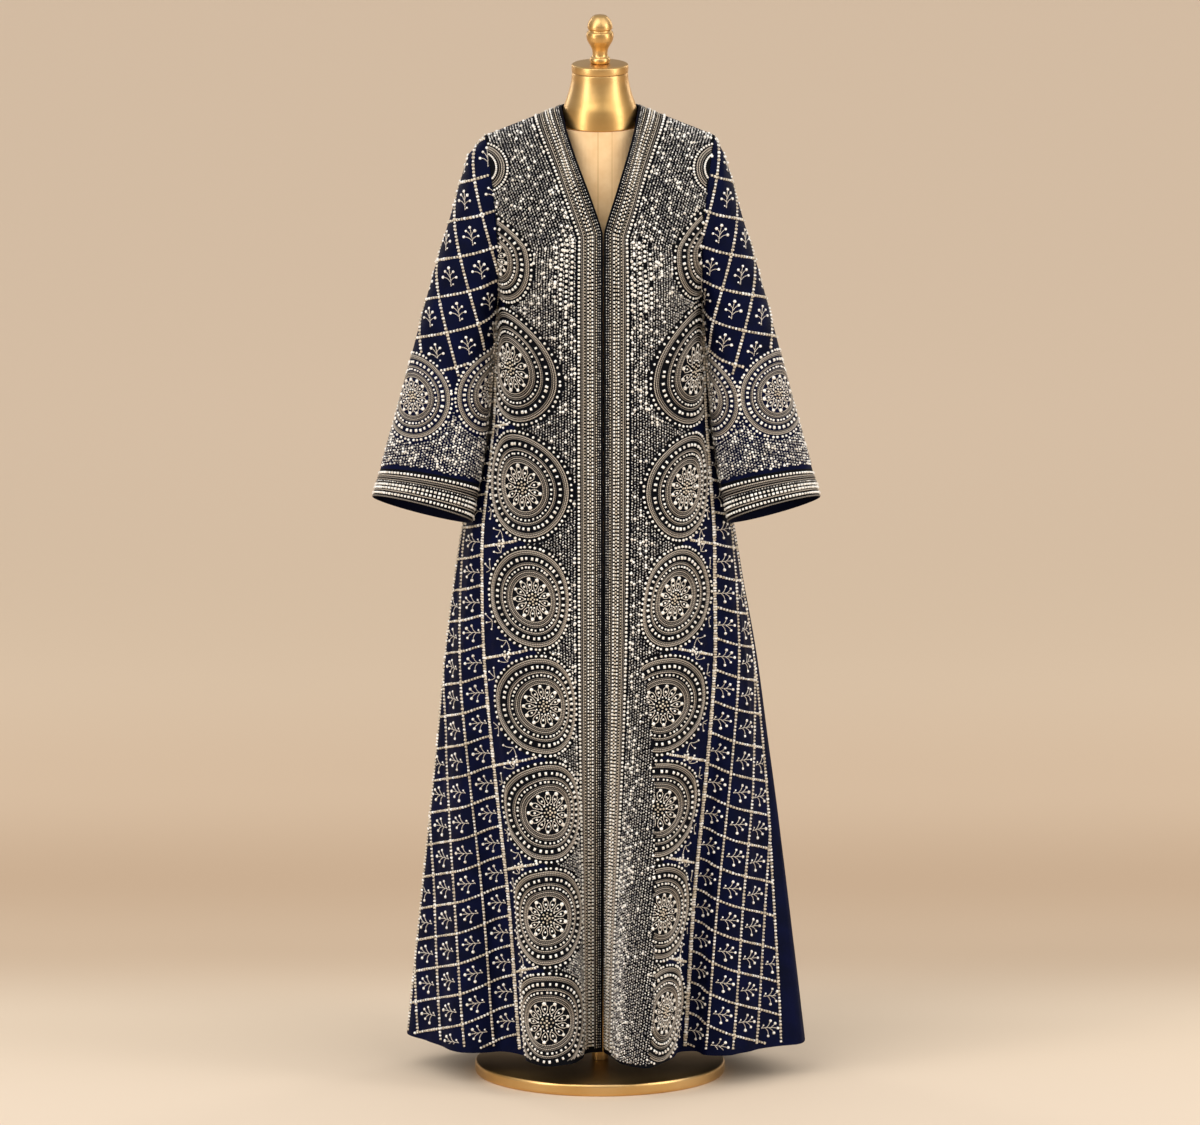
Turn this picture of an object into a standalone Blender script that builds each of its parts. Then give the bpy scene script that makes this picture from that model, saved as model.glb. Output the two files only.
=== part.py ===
"""Abaya cloak on a limbless dress form, modelled as the maker would build it.

Frame: metres, +Z up, origin at the centre of the underside of the round base.
The wearer faces -Y.  "right" and "left" are the wearer's own sides, so the
right side lies at -X and the left side at +X.

The cloak is cut in straight fronts, flared side gores, two wide plain back halves,
two front bands that carry on round the neck, two sleeves and two cuffs.  Every
cloth piece is a thin closed wall whose outer face follows one shared body or
sleeve shape, so that neighbouring pieces meet edge to edge along the seams.
"""

from math import cos, pi, radians, sin, sqrt

import bmesh
import bpy
import numpy as np

# ---------------------------------------------------------------- sizes, cloth
WALL = 0.0018            # cloth with its embroidery backing
SEAM_GAP = 0.0003        # between two pieces at a seam
NECK_SEAM_GAP = 0.0009   # under the standing back of the neck band
ARMHOLE_GAP = 0.0006     # between the body pieces and the sleeve head
BAND_WIDTH = 0.038       # front band, hem to neck
BAND_SHOULDER_EASE = 0.005   # the band is this much wider on the shoulder
FRONT_EDGE_HALF_GAP = 0.0009  # the two front edges hang this far from the centre line
FRONT_LEAN = 0.0050      # the closing line sits this far to the wearer's left
CUFF_SHARE = 0.075       # applied cuff as a share of the sleeve, on the outer fold
CUFF_INNER_EXTRA = 0.62  # the cuff takes this much more of the share on the inner fold
LEFT_SLEEVE_NARROWER = 0.011  # the left sleeve's outer fold hangs this much closer in
OVAL_POWER = 2.2         # squareness of the body's horizontal sections

UNDERARM_Z = 1.190
HEM_Z = 0.050
FOLD_TOP_Z = 1.060       # the skirt's folds die out at this height
FOLD_GROWTH = 1.25       # how the folds deepen towards the hem
SHOULDER_TIP_X = 0.171
SHOULDER_TIP_Z = 1.432
NECK_SIDE_X = 0.0585     # neck edge on the shoulder line
NECK_SIDE_Z = 1.4767
NECK_RISE = 0.039        # how far the shape would climb inside the neck hole
UNDERARM_X = 0.152
FULL_SHOULDER_X = 0.200  # half width of the uncut body shape at the shoulder
SLEEVE_LENGTH = 0.570    # shoulder tip to cuff edge down the outer fold
ARMHOLE_SCOOP = 0.006    # the armhole cuts in by this much half way up
FRONT_CHEST = 0.125
BACK_CHEST = 0.118
FRONT_SLOPE_POWER = 1.4  # chest falls away early
BACK_SLOPE_POWER = 2.5   # upper back stays full
V_POINT_SHARE = 0.327    # height of the V point as a share of the upper body
BACK_NECK_DEPTH = 0.068  # neck edge behind the form's neck
BACK_NECK_DROP = 0.005
BACK_SEAM_DROP = 0.020   # fall of the band-to-back seam from the shoulder line

# Horizontal half sections of the skirt; the skirt hangs a little wider on the right
SKIRT_SECTIONS = (
    # height, half_width_right, half_width_left, front, back
    (1.190, 0.152, 0.152, 0.125, 0.118),
    (1.100, 0.157, 0.157, 0.127, 0.119),
    (1.000, 0.166, 0.166, 0.129, 0.123),
    (0.920, 0.184, 0.181, 0.131, 0.129),
    (0.840, 0.206, 0.199, 0.133, 0.135),
    (0.750, 0.221, 0.213, 0.136, 0.142),
    (0.660, 0.233, 0.228, 0.139, 0.149),
    (0.477, 0.252, 0.249, 0.145, 0.161),
    (0.290, 0.273, 0.271, 0.150, 0.173),
    (0.050, 0.300, 0.300, 0.155, 0.186),
)

# Where the two gore seams run, as the turn from the front centre, in degrees
GORE_SEAMS = (
    # height, front_seam, side_seam_right, side_seam_left
    (1.190, 86.0, 90.0, 90.0),
    (1.000, 70.0, 90.0, 90.0),
    (0.860, 57.0, 90.0, 90.0),
    (0.650, 44.5, 90.0, 89.0),
    (0.510, 37.0, 90.0, 86.0),
    (0.310, 27.5, 90.0, 75.0),
    (0.050, 20.0, 90.0, 65.0),
)

# The hem as seen from above, wearer's right: across (to the side), forward
HEM_RIGHT = (
    # piece, across, forward
    ("front", -0.0040, 0.100),
    ("front", 0.0165, 0.107),
    ("front", 0.0270, 0.150),
    ("front", 0.0490, 0.192),
    ("front", 0.0800, 0.203),
    ("front", 0.1055, 0.173),
    ("front", 0.1170, 0.122),
    ("gore", 0.1460, 0.098),
    ("gore", 0.1790, 0.108),
    ("gore", 0.2060, 0.106),
    ("gore", 0.2360, 0.060),
    ("gore", 0.2660, 0.014),
    ("gore", 0.2900, -0.030),
    ("back", 0.2760, -0.082),
    ("back", 0.2360, -0.104),
    ("back", 0.2090, -0.144),
    ("back", 0.1780, -0.184),
    ("back", 0.1380, -0.176),
    ("back", 0.1040, -0.181),
    ("back", 0.0680, -0.213),
    ("back", 0.0320, -0.204),
    ("back", 0.0000, -0.186),
)

# The hem on the wearer's left
HEM_LEFT = (
    # piece, across, forward
    ("front", 0.0062, 0.100),
    ("front", 0.0150, 0.130),
    ("front", 0.0380, 0.193),
    ("front", 0.0700, 0.217),
    ("front", 0.0880, 0.191),
    ("front", 0.1070, 0.148),
    ("front", 0.1240, 0.098),
    ("gore", 0.1410, 0.094),
    ("gore", 0.1590, 0.124),
    ("gore", 0.1900, 0.128),
    ("gore", 0.2140, 0.106),
    ("gore", 0.2440, 0.075),
    ("gore", 0.2745, 0.056),
    ("back", 0.3000, 0.044),
    ("back", 0.3090, 0.010),
    ("back", 0.2920, -0.052),
    ("back", 0.2560, -0.092),
    ("back", 0.2280, -0.140),
    ("back", 0.1960, -0.184),
    ("back", 0.1560, -0.178),
    ("back", 0.1180, -0.172),
    ("back", 0.0840, -0.204),
    ("back", 0.0420, -0.208),
    ("back", 0.0000, -0.186),
)

# Sleeve sections below the armhole: the outer and inner points of each ring,
# the centre's place forward, how much further forward the inner point lies,
# the half depth, and how much the front of the ring is lifted
SLEEVE_SECTIONS = (
    # down, outer_x, outer_z, inner_x, inner_z, forward, toe_in, half_depth, front_lift
    (0.06, 0.1980, 1.4010, 0.1545, 1.1720, 0.000, 0.000, 0.068, 0.000),
    (0.22, 0.2240, 1.3090, 0.1605, 1.1200, 0.002, 0.001, 0.070, 0.002),
    (0.38, 0.2490, 1.2250, 0.1670, 1.0720, 0.006, 0.003, 0.067, 0.005),
    (0.55, 0.2735, 1.1330, 0.1740, 1.0300, 0.014, 0.006, 0.063, 0.009),
    (0.78, 0.3070, 1.0060, 0.1800, 0.9500, 0.030, 0.013, 0.059, 0.014),
    (1.00, 0.3410, 0.8850, 0.1950, 0.8545, 0.045, 0.020, 0.056, 0.018),
)

# Facets: kept even on both sides of every seam
SHOULDER_ROWS = 12       # underarm to shoulder line
SKIRT_ROWS = 19          # underarm to hem
FRONT_COLUMNS = 11
GORE_COLUMNS = 9
BAND_COLUMNS = 2
BACK_NECK_ROWS = 8
BACK_SHOULDER_COLUMNS = 5
SLEEVE_ROWS = 13
CUFF_ROWS = 2

# ------------------------------------------------------------ sizes, the form
FORM_POWER = 2.2
FORM_SHOULDER_Z = 1.4475
FORM_SHOULDER_FALL = 0.0167    # at FORM_FALL_X
FORM_FALL_X = 0.168
FORM_SHOULDER_X = 0.170
FORM_NECK_SEAT_R = 0.0595
FORM_RIDGE_HALF = 0.004
FORM_NECK_SPREAD = 0.058
FORM_CHEST_POWER = 1.6
FORM_COLUMNS = 20
FORM_SECTIONS = (
    # height, half_width, front, back
    (0.772, 0.128, 0.084, 0.090),
    (0.780, 0.142, 0.096, 0.102),
    (0.800, 0.149, 0.101, 0.109),
    (0.860, 0.155, 0.105, 0.114),
    (0.940, 0.142, 0.097, 0.103),
    (1.030, 0.118, 0.086, 0.084),
    (1.110, 0.126, 0.098, 0.088),
    (1.190, 0.137, 0.108, 0.096),
)
FORM_UPPER_SHARES = (0.16, 0.32, 0.48, 0.64, 0.80, 0.92, 1.0)

BASE_R = 0.1875
BASE_TURNING = (
    # radius, height
    (0.0000, 0.0000),
    (0.1850, 0.0000),
    (0.1868, 0.0016),
    (0.1875, 0.0045),
    (0.1875, 0.0135),
    (0.1868, 0.0164),
    (0.1850, 0.0180),
    (0.0000, 0.0180),
)
POLE_R = 0.0125
POLE_BOTTOM = 0.0183
POLE_TOP = 0.7717
NECK_TURNING = (
    # radius, height
    (0.0000, 1.4478),
    (0.0566, 1.4478),
    (0.0574, 1.4490),
    (0.0558, 1.4560),
    (0.0537, 1.4660),
    (0.0512, 1.4780),
    (0.0478, 1.4920),
    (0.0446, 1.5060),
    (0.0426, 1.5180),
    (0.0419, 1.5270),
    (0.0414, 1.5284),
    (0.0000, 1.5284),
)
CAP_TURNING = (
    # radius, height
    (0.0000, 1.5287),
    (0.0412, 1.5287),
    (0.0424, 1.5300),
    (0.0426, 1.5345),
    (0.0424, 1.5392),
    (0.0410, 1.5408),
    (0.0380, 1.5416),
    (0.0000, 1.5416),
)
FINIAL_TURNING = (
    # radius, height
    (0.0000, 1.5419),
    (0.0128, 1.5419),
    (0.0146, 1.5440),
    (0.0152, 1.5472),
    (0.0144, 1.5504),
    (0.0118, 1.5530),
    (0.0112, 1.5560),
    (0.0116, 1.5610),
    (0.0132, 1.5660),
    (0.0166, 1.5720),
    (0.0195, 1.5780),
    (0.0204, 1.5835),
    (0.0196, 1.5890),
    (0.0170, 1.5918),
    (0.0168, 1.5930),
    (0.0186, 1.5950),
    (0.0187, 1.5985),
    (0.0174, 1.6040),
    (0.0140, 1.6098),
    (0.0086, 1.6146),
    (0.0000, 1.6162),
)
TURNED_STEPS = 36
FINIAL_STEPS = 20
BASE_STEPS = 48
POLE_STEPS = 16

# ------------------------------------------------------------------- materials
MATERIALS = {
    # name: (red, green, blue, roughness, metallic)
    "navy_cloth": (0.004, 0.009, 0.040, 0.78, 0.0),
    "beaded_navy_cloth": (0.140, 0.135, 0.125, 0.62, 0.0),
    "braided_band_cloth": (0.260, 0.220, 0.170, 0.60, 0.0),
    "form_jersey": (0.760, 0.530, 0.280, 0.85, 0.0),
    "brushed_brass": (0.560, 0.320, 0.075, 0.28, 1.0),
}


def make_material(name):
    """Return the named Principled material, made on first use."""
    if name in bpy.data.materials:
        return bpy.data.materials[name]
    red, green, blue, roughness, metallic = MATERIALS[name]
    material = bpy.data.materials.new(name)
    material.use_nodes = True
    shader = material.node_tree.nodes["Principled BSDF"]
    shader.inputs["Base Color"].default_value = (red, green, blue, 1.0)
    shader.inputs["Roughness"].default_value = roughness
    shader.inputs["Metallic"].default_value = metallic
    return material


def column(table, name_order, name):
    """One named column of a table, as an array."""
    place = name_order.index(name)
    return np.array([row[place] for row in table], dtype=float)


def smooth_through(knots, values, at):
    """Cubic curve through the values at rising knots, without overshoot at the ends."""
    knots = np.asarray(knots, dtype=float)
    values = np.asarray(values, dtype=float)
    at = np.asarray(at, dtype=float)
    slope = np.gradient(values, knots, axis=0)
    place = np.clip(np.searchsorted(knots, at, side="right") - 1, 0, len(knots) - 2)
    span = knots[place + 1] - knots[place]
    t = np.clip((at - knots[place]) / span, 0.0, 1.0)
    if values.ndim > 1:
        t = t[..., None]
        span = span[..., None]
    low, high = values[place], values[place + 1]
    rise_low, rise_high = slope[place] * span, slope[place + 1] * span
    square, cube = t * t, t * t * t
    return ((2 * cube - 3 * square + 1) * low + (cube - 2 * square + t) * rise_low
            + (3 * square - 2 * cube) * high + (cube - square) * rise_high)


def at_height(table, names, name, height):
    """A table column read at a height; the table runs from the top down."""
    heights = column(table, names, "height")[::-1]
    values = column(table, names, name)[::-1]
    return smooth_through(heights, values, height)


# ------------------------------------------------------------- the body shape
SECTION_NAMES = ("height", "half_width_right", "half_width_left", "front", "back")
SEAM_NAMES = ("height", "front_seam", "side_seam_right", "side_seam_left")


def shoulder_height(across):
    """Height of the shoulder line at a distance from the centre."""
    across = np.abs(across)
    slope = (NECK_SIDE_Z - SHOULDER_TIP_Z) / (SHOULDER_TIP_X - NECK_SIDE_X)
    line = NECK_SIDE_Z - slope * (across - NECK_SIDE_X)
    inside = np.clip(1.0 - (across / NECK_SIDE_X) ** 2, 0.0, 1.0)
    return line + NECK_RISE * inside


def full_half_width(share):
    """Half width of the uncut upper body at a share of the way to the shoulder."""
    return UNDERARM_X + (FULL_SHOULDER_X - UNDERARM_X) * np.sin(share * pi / 2)


def armhole_across(share):
    """Distance from the centre at which the armhole cuts the body shape."""
    straight = UNDERARM_X + (SHOULDER_TIP_X - UNDERARM_X) * share
    return straight - ARMHOLE_SCOOP * np.sin(share * pi)


def turn_at(across, half_width):
    """Turn from the centre at which the oval section reaches a distance across."""
    ratio = np.clip(across / half_width, 0.0, 1.0)
    return np.arcsin(ratio ** (OVAL_POWER / 2))


def armhole_turn(share, front):
    """Turn of the armhole edge at a share of the way up, from the centre line."""
    turn = turn_at(armhole_across(share), full_half_width(share))
    if not front:
        return turn
    widest = radians(GORE_SEAMS[0][1])
    return np.minimum(turn, widest)


def neck_edge_across(share):
    """Half width of the V neck at a share of the way up the body."""
    climb = np.clip((share - V_POINT_SHARE) / (1.0 - V_POINT_SHARE), 0.0, 1.0)
    opening = NECK_SIDE_X * (1.28 * climb - 0.28 * climb ** 2.7)
    return np.maximum(opening, FRONT_EDGE_HALF_GAP)


def hem_shape(rows):
    """Knots of the hem: place along (1 a piece), across and forward."""
    pieces = [row[0] for row in rows]
    points = np.array([row[1:] for row in rows], dtype=float)
    steps = np.linalg.norm(np.diff(points, axis=0), axis=1)
    along = np.concatenate(([0.0], np.cumsum(steps)))
    ends = [0.0]
    for name in ("front", "gore", "back"):
        last = max(i for i, piece in enumerate(pieces) if piece == name)
        ends.append(along[last])
    return along, points, ends


HEMS = {-1: hem_shape(HEM_RIGHT), 1: hem_shape(HEM_LEFT)}


def hem_point(place, side):
    """Hem plan at a place: 0-1 front, 1-2 gore, 2-3 back."""
    along, points, ends = HEMS[side]
    distance = np.interp(place, (0.0, 1.0, 2.0, 3.0), ends)
    return smooth_through(along, points, distance)


def oval(turn, half_width, front, back):
    """Squared oval section: across and forward for a turn from the front centre."""
    power = 2.0 / OVAL_POWER
    across = half_width * np.abs(np.sin(turn)) ** power
    ahead = np.cos(turn)
    depth = np.where(ahead >= 0.0, front, back)
    forward = np.sign(ahead) * depth * np.abs(ahead) ** power
    return across, forward


def upper_point(share, place, side):
    """Body shape above the underarm, at a share of the way up to the shoulder.

    Places 0 to 1 are the front, 2 to 3 the back; between them lies the armhole.
    """
    front_edge = armhole_turn(share, True)
    back_edge = pi - armhole_turn(share, False)
    turn = np.where(place <= 1.0, place * front_edge,
                    np.where(place <= 2.0,
                             front_edge + (place - 1.0) * (back_edge - front_edge),
                             back_edge + (place - 2.0) * (pi - back_edge)))
    front = FRONT_CHEST * np.sqrt(np.clip(1.0 - share ** FRONT_SLOPE_POWER, 0.0, 1.0))
    back = BACK_CHEST * np.sqrt(np.clip(1.0 - share ** BACK_SLOPE_POWER, 0.0, 1.0))
    across, forward = oval(turn, full_half_width(share), front, back)
    height = UNDERARM_Z + (shoulder_height(across) - UNDERARM_Z) * share
    lean = FRONT_LEAN * np.clip((1.0 - share) / 0.5, 0.0, 1.0)
    lean = lean * np.clip(1.0 - place, 0.0, 1.0) ** 2
    return np.stack([side * across + lean, -forward, height], axis=-1)


def width_name(side):
    """Name of the half width column for a side."""
    return "half_width_left" if side > 0 else "half_width_right"


def skirt_section(height, place, side):
    """Unfolded oval of the skirt: across and forward at a height and place."""
    names = SECTION_NAMES
    half_width = at_height(SKIRT_SECTIONS, names, width_name(side), height)
    front = at_height(SKIRT_SECTIONS, names, "front", height)
    back = at_height(SKIRT_SECTIONS, names, "back", height)
    side_name = "side_seam_left" if side > 0 else "side_seam_right"
    front_seam = np.radians(at_height(GORE_SEAMS, SEAM_NAMES, "front_seam", height))
    side_seam = np.radians(at_height(GORE_SEAMS, SEAM_NAMES, side_name, height))
    piece_front = place * front_seam
    piece_gore = front_seam + (place - 1.0) * (side_seam - front_seam)
    piece_back = side_seam + (place - 2.0) * (pi - side_seam)
    turn = np.where(place <= 1.0, piece_front,
                    np.where(place <= 2.0, piece_gore, piece_back))
    across, forward = oval(turn, half_width, front, back)
    lean = side * FRONT_LEAN * np.clip(1.0 - place, 0.0, 1.0) ** 2
    return across + lean, forward


def skirt_point(height, place, side):
    """Body shape below the underarm: the oval moved towards the folded hem."""
    across, forward = skirt_section(height, place, side)
    hem_across, hem_forward = skirt_section(HEM_Z + 0.0 * height, place, side)
    hem = hem_point(place, side)
    drop = np.clip((FOLD_TOP_Z - height) / (FOLD_TOP_Z - HEM_Z), 0.0, 1.0)
    folded = drop ** FOLD_GROWTH
    across = across + folded * (hem[..., 0] - hem_across)
    forward = forward + folded * (hem[..., 1] - hem_forward)
    return np.stack([side * across, -forward, height + 0.0 * across], axis=-1)


def body_point(level, place, side):
    """Body shape at a level: 0 to 1 above the underarm, metres below it if negative."""
    level, place = np.broadcast_arrays(np.asarray(level, float), np.asarray(place, float))
    above = upper_point(np.clip(level, 0.0, 1.0), place, side)
    below = skirt_point(UNDERARM_Z + np.minimum(level, 0.0), place, side)
    return np.where((level >= 0.0)[..., None], above, below)


def body_normal(level, place, side):
    """Outward direction of the body shape, from its slopes both ways."""
    level, place = np.broadcast_arrays(np.asarray(level, float), np.asarray(place, float))
    step = 1e-3
    up = (body_point(np.minimum(level + step, 1.0), place, side)
          - body_point(level - step, place, side))
    low = np.clip(place - step, 0.0, 3.0)
    high = np.clip(place + step, 0.0, 3.0)
    round_ = body_point(level, high, side) - body_point(level, low, side)
    out = np.cross(up, round_) * side * -1.0
    ridge = level > 0.9999
    out[ridge, 1] = 0.0
    out[ridge, 0] = side * (NECK_SIDE_Z - SHOULDER_TIP_Z) / (SHOULDER_TIP_X - NECK_SIDE_X)
    out[ridge, 2] = 1.0
    length = np.linalg.norm(out, axis=-1, keepdims=True)
    return out / np.maximum(length, 1e-12)


def row_places(level, side, start, end, distances=None, shares=None):
    """Places along one level between two places, by distance or by share of length."""
    dense = np.linspace(start, end, 241)
    points = body_point(level, dense, side)
    steps = np.linalg.norm(np.diff(points, axis=0), axis=1)
    along = np.concatenate(([0.0], np.cumsum(steps)))
    if shares is not None:
        distances = np.asarray(shares) * along[-1]
    return np.interp(distances, along, dense), along[-1]


def neck_place(share, side):
    """Place of the neck edge (or front edge) on one level of the upper body."""
    across = neck_edge_across(share)
    turn = turn_at(across, full_half_width(share))
    return turn / armhole_turn(share, True)


def front_edge_place(level, side):
    """Place of the free front edge at any level."""
    if level >= 0.0:
        return float(neck_place(level, side))
    half_width = at_height(SKIRT_SECTIONS, SECTION_NAMES, width_name(side), UNDERARM_Z + level)
    seam = radians(float(at_height(GORE_SEAMS, SEAM_NAMES, "front_seam", UNDERARM_Z + level)))
    drop = np.clip((FOLD_TOP_Z - UNDERARM_Z - level) / (FOLD_TOP_Z - HEM_Z), 0.0, 1.0)
    share = (1.0 - float(drop)) ** 2
    return float(turn_at(FRONT_EDGE_HALF_GAP, half_width) / seam) * share


def band_width_at(level):
    """Width of the band at a level, with its ease on the shoulder."""
    climb = np.clip((level - V_POINT_SHARE) / (1.0 - V_POINT_SHARE), 0.0, 1.0)
    return BAND_WIDTH + BAND_SHOULDER_EASE * climb


def shoulder_levels():
    """Levels from the shoulder line down to the underarm, close together at both."""
    turns = np.linspace(0.0, pi, SHOULDER_ROWS + 1)
    return (1.0 + np.cos(turns)) / 2.0


def skirt_levels():
    """Levels from the underarm down to the hem."""
    length = UNDERARM_Z - HEM_Z
    return -length * np.linspace(0.0, 1.0, SKIRT_ROWS + 1)


def cloak_levels():
    """All levels of a front, shoulder line to hem."""
    return np.concatenate((shoulder_levels(), skirt_levels()[1:]))


# ------------------------------------------------------------ building meshes
def new_object(name, mesh_builder, material_name):
    """Make a named object from a filled bmesh and give it its material."""
    mesh = bpy.data.meshes.new(name)
    mesh_builder.to_mesh(mesh)
    mesh_builder.free()
    mesh.shade_smooth()
    mesh.set_sharp_from_angle(angle=radians(40.0))
    thing = bpy.data.objects.new(name, mesh)
    thing.data.materials.append(make_material(material_name))
    bpy.context.scene.collection.objects.link(thing)
    return thing


def wall_between(outer, inner, wrap):
    """Closed thin wall between two matching grids of points.

    The grids are rows by columns.  With wrap, the columns close on themselves.
    """
    builder = bmesh.new()
    rows, columns = outer.shape[:2]
    faces = [[[builder.verts.new(point) for point in row] for row in grid]
             for grid in (outer, inner)]
    cells = columns if wrap else columns - 1
    for r in range(rows - 1):
        for c in range(cells):
            d = (c + 1) % columns
            front, back = faces
            builder.faces.new((front[r][c], front[r + 1][c], front[r + 1][d], front[r][d]))
            builder.faces.new((back[r][c], back[r][d], back[r + 1][d], back[r + 1][c]))
    for r, turned in ((0, False), (rows - 1, True)):
        for c in range(cells):
            d = (c + 1) % columns
            rim = [faces[0][r][c], faces[0][r][d], faces[1][r][d], faces[1][r][c]]
            builder.faces.new(rim[::-1] if turned else rim)
    if not wrap:
        for c, turned in ((0, True), (columns - 1, False)):
            for r in range(rows - 1):
                rim = [faces[0][r][c], faces[0][r + 1][c], faces[1][r + 1][c], faces[1][r][c]]
                builder.faces.new(rim if not turned else rim[::-1])
    bmesh.ops.recalc_face_normals(builder, faces=builder.faces)
    if builder.calc_volume(signed=True) < 0.0:
        bmesh.ops.reverse_faces(builder, faces=builder.faces)
    return builder


def body_piece(name, levels, places, side, material, lift=0.0):
    """Cloth wall whose outer face is the body shape at a grid of levels and places."""
    outer = body_point(levels, places, side)
    out = body_normal(levels, places, side)
    outer = outer + out * lift
    inner = outer - out * WALL
    return new_object(name, wall_between(outer, inner, False), material)


def apart_at_shoulder(outer, inner, forward):
    """Open the shoulder seam by moving the top row off the ridge."""
    shift = np.array((0.0, -forward * SEAM_GAP / 2.0, 0.0))
    outer[0] += shift
    inner[0] += shift


def add_front(name, side):
    """Straight front from the band seam to the armhole and the gore seam."""
    levels = cloak_levels()
    places = []
    for level in levels:
        start = front_edge_place(level, side)
        width = band_width_at(level) + SEAM_GAP
        end_gap = SEAM_GAP if level <= 0.0 else 0.0
        _, length = row_places(level, side, start, 1.0, shares=(1.0,))
        stops = np.linspace(width, length - end_gap, FRONT_COLUMNS + 1)
        row, _ = row_places(level, side, start, 1.0, distances=stops)
        places.append(row)
    places = np.array(places)
    grid = np.repeat(levels[:, None], FRONT_COLUMNS + 1, axis=1)
    outer = body_point(grid, places, side)
    out = body_normal(grid, places, side)
    inner = outer - out * WALL
    apart_at_shoulder(outer, inner, 1.0)
    return new_object(name, wall_between(outer, inner, False), "beaded_navy_cloth")


def add_gore(name, side):
    """Flared side gore, a narrow top at the underarm widening to the hem."""
    levels = skirt_levels()
    levels[0] -= SEAM_GAP
    places = []
    for level in levels:
        _, length = row_places(level, side, 1.0, 2.0, shares=(1.0,))
        stops = np.linspace(0.0, length - SEAM_GAP, GORE_COLUMNS + 1)
        row, _ = row_places(level, side, 1.0, 2.0, distances=stops)
        places.append(row)
    grid = np.repeat(levels[:, None], GORE_COLUMNS + 1, axis=1)
    return body_piece(name, grid, np.array(places), side, "beaded_navy_cloth")


def band_reach():
    """Distance from the centre at which the band's outer edge crosses the shoulder line."""
    width = BAND_WIDTH + BAND_SHOULDER_EASE
    fall = (NECK_SIDE_Z - SHOULDER_TIP_Z) / (SHOULDER_TIP_X - NECK_SIDE_X)
    return NECK_SIDE_X + width / sqrt(1.0 + fall * fall)


def back_seam_share(across, gap):
    """Share of the way up at which the seam under the neck band lies.

    The seam is an ellipse from the shoulder line round the back of the neck;
    a gap moves it outwards, on to the back piece.
    """
    reach = band_reach() + gap
    ratio = np.clip(across / reach, 0.0, 1.0)
    behind = np.sqrt(1.0 - ratio ** 2)
    seam = shoulder_height(reach) - (BACK_SEAM_DROP + gap) * behind
    share = (seam - UNDERARM_Z) / (shoulder_height(across) - UNDERARM_Z)
    return np.where(ratio < 1.0, np.minimum(share, 1.0), 1.0)


def back_column_reach():
    """Distances from the centre back of the back's columns along its top edge."""
    turns = np.linspace(pi / 2, 0.0, BACK_NECK_ROWS + 1)
    reach = band_reach() + NECK_SEAM_GAP
    under_band = reach * np.cos(turns)
    on_shoulder = np.linspace(reach, SHOULDER_TIP_X, BACK_SHOULDER_COLUMNS + 1)
    return np.concatenate((under_band, on_shoulder[1:]))


def back_upper_row(turn_share, side):
    """Points and outward directions of one half row of the back above the underarm.

    turn_share is 1 along the top edge and 0 at the underarm.
    """
    reach = back_column_reach()
    top = back_seam_share(reach, NECK_SEAM_GAP)
    part = reach / armhole_across(top)
    share = turn_share * top
    turn = turn_at(part * armhole_across(share), full_half_width(share))
    by_width = 3.0 - turn / armhole_turn(share, False)
    by_length = np.array([row_places(level, side, 3.0, 2.0, shares=(p,))[0][0]
                          for level, p in zip(share, back_length_shares())])
    places = turn_share * by_width + (1.0 - turn_share) * by_length
    return body_point(share, places, side), body_normal(share, places, side)


def back_length_shares():
    """Even shares of the half back for its columns, following their reach at the top."""
    reach = back_column_reach()
    return np.linspace(0.0, 1.0, len(reach)) * 0.5 + 0.5 * reach / reach[-1]


def add_backs(right_name, left_name):
    """Two wide plain back halves, side seam to centre back and up to the neck band."""
    part = back_length_shares()
    half = len(part) - 1
    outer_rows, out_rows = [], []
    for share in shoulder_levels():
        right, right_out = back_upper_row(share, -1)
        left, left_out = back_upper_row(share, 1)
        outer_rows.append(np.concatenate((right[::-1], left[1:])))
        out_rows.append(np.concatenate((right_out[::-1], left_out[1:])))
    for level in skirt_levels()[1:]:
        halves = []
        for side in (-1, 1):
            _, length = row_places(level, side, 3.0, 2.0, shares=(1.0,))
            places, _ = row_places(level, side, 3.0, 2.0, distances=part * length)
            halves.append((body_point(level, places, side), body_normal(level, places, side)))
        outer_rows.append(np.concatenate((halves[0][0][::-1], halves[1][0][1:])))
        out_rows.append(np.concatenate((halves[0][1][::-1], halves[1][1][1:])))
    outer, out = np.array(outer_rows), np.array(out_rows)
    out[:, half, 0] = 0.0
    out /= np.linalg.norm(out, axis=-1, keepdims=True)
    inner = outer - out * WALL
    apart_at_shoulder(outer, inner, -1.0)
    for name, side, columns in ((right_name, -1, slice(None, half + 1)),
                                (left_name, 1, slice(half, None))):
        faces = [face[:, columns].copy() for face in (outer, inner)]
        for face in faces:
            face[:, -1 if side < 0 else 0, 0] = side * SEAM_GAP / 2.0
        new_object(name, wall_between(faces[0], faces[1], False), "navy_cloth")


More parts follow.
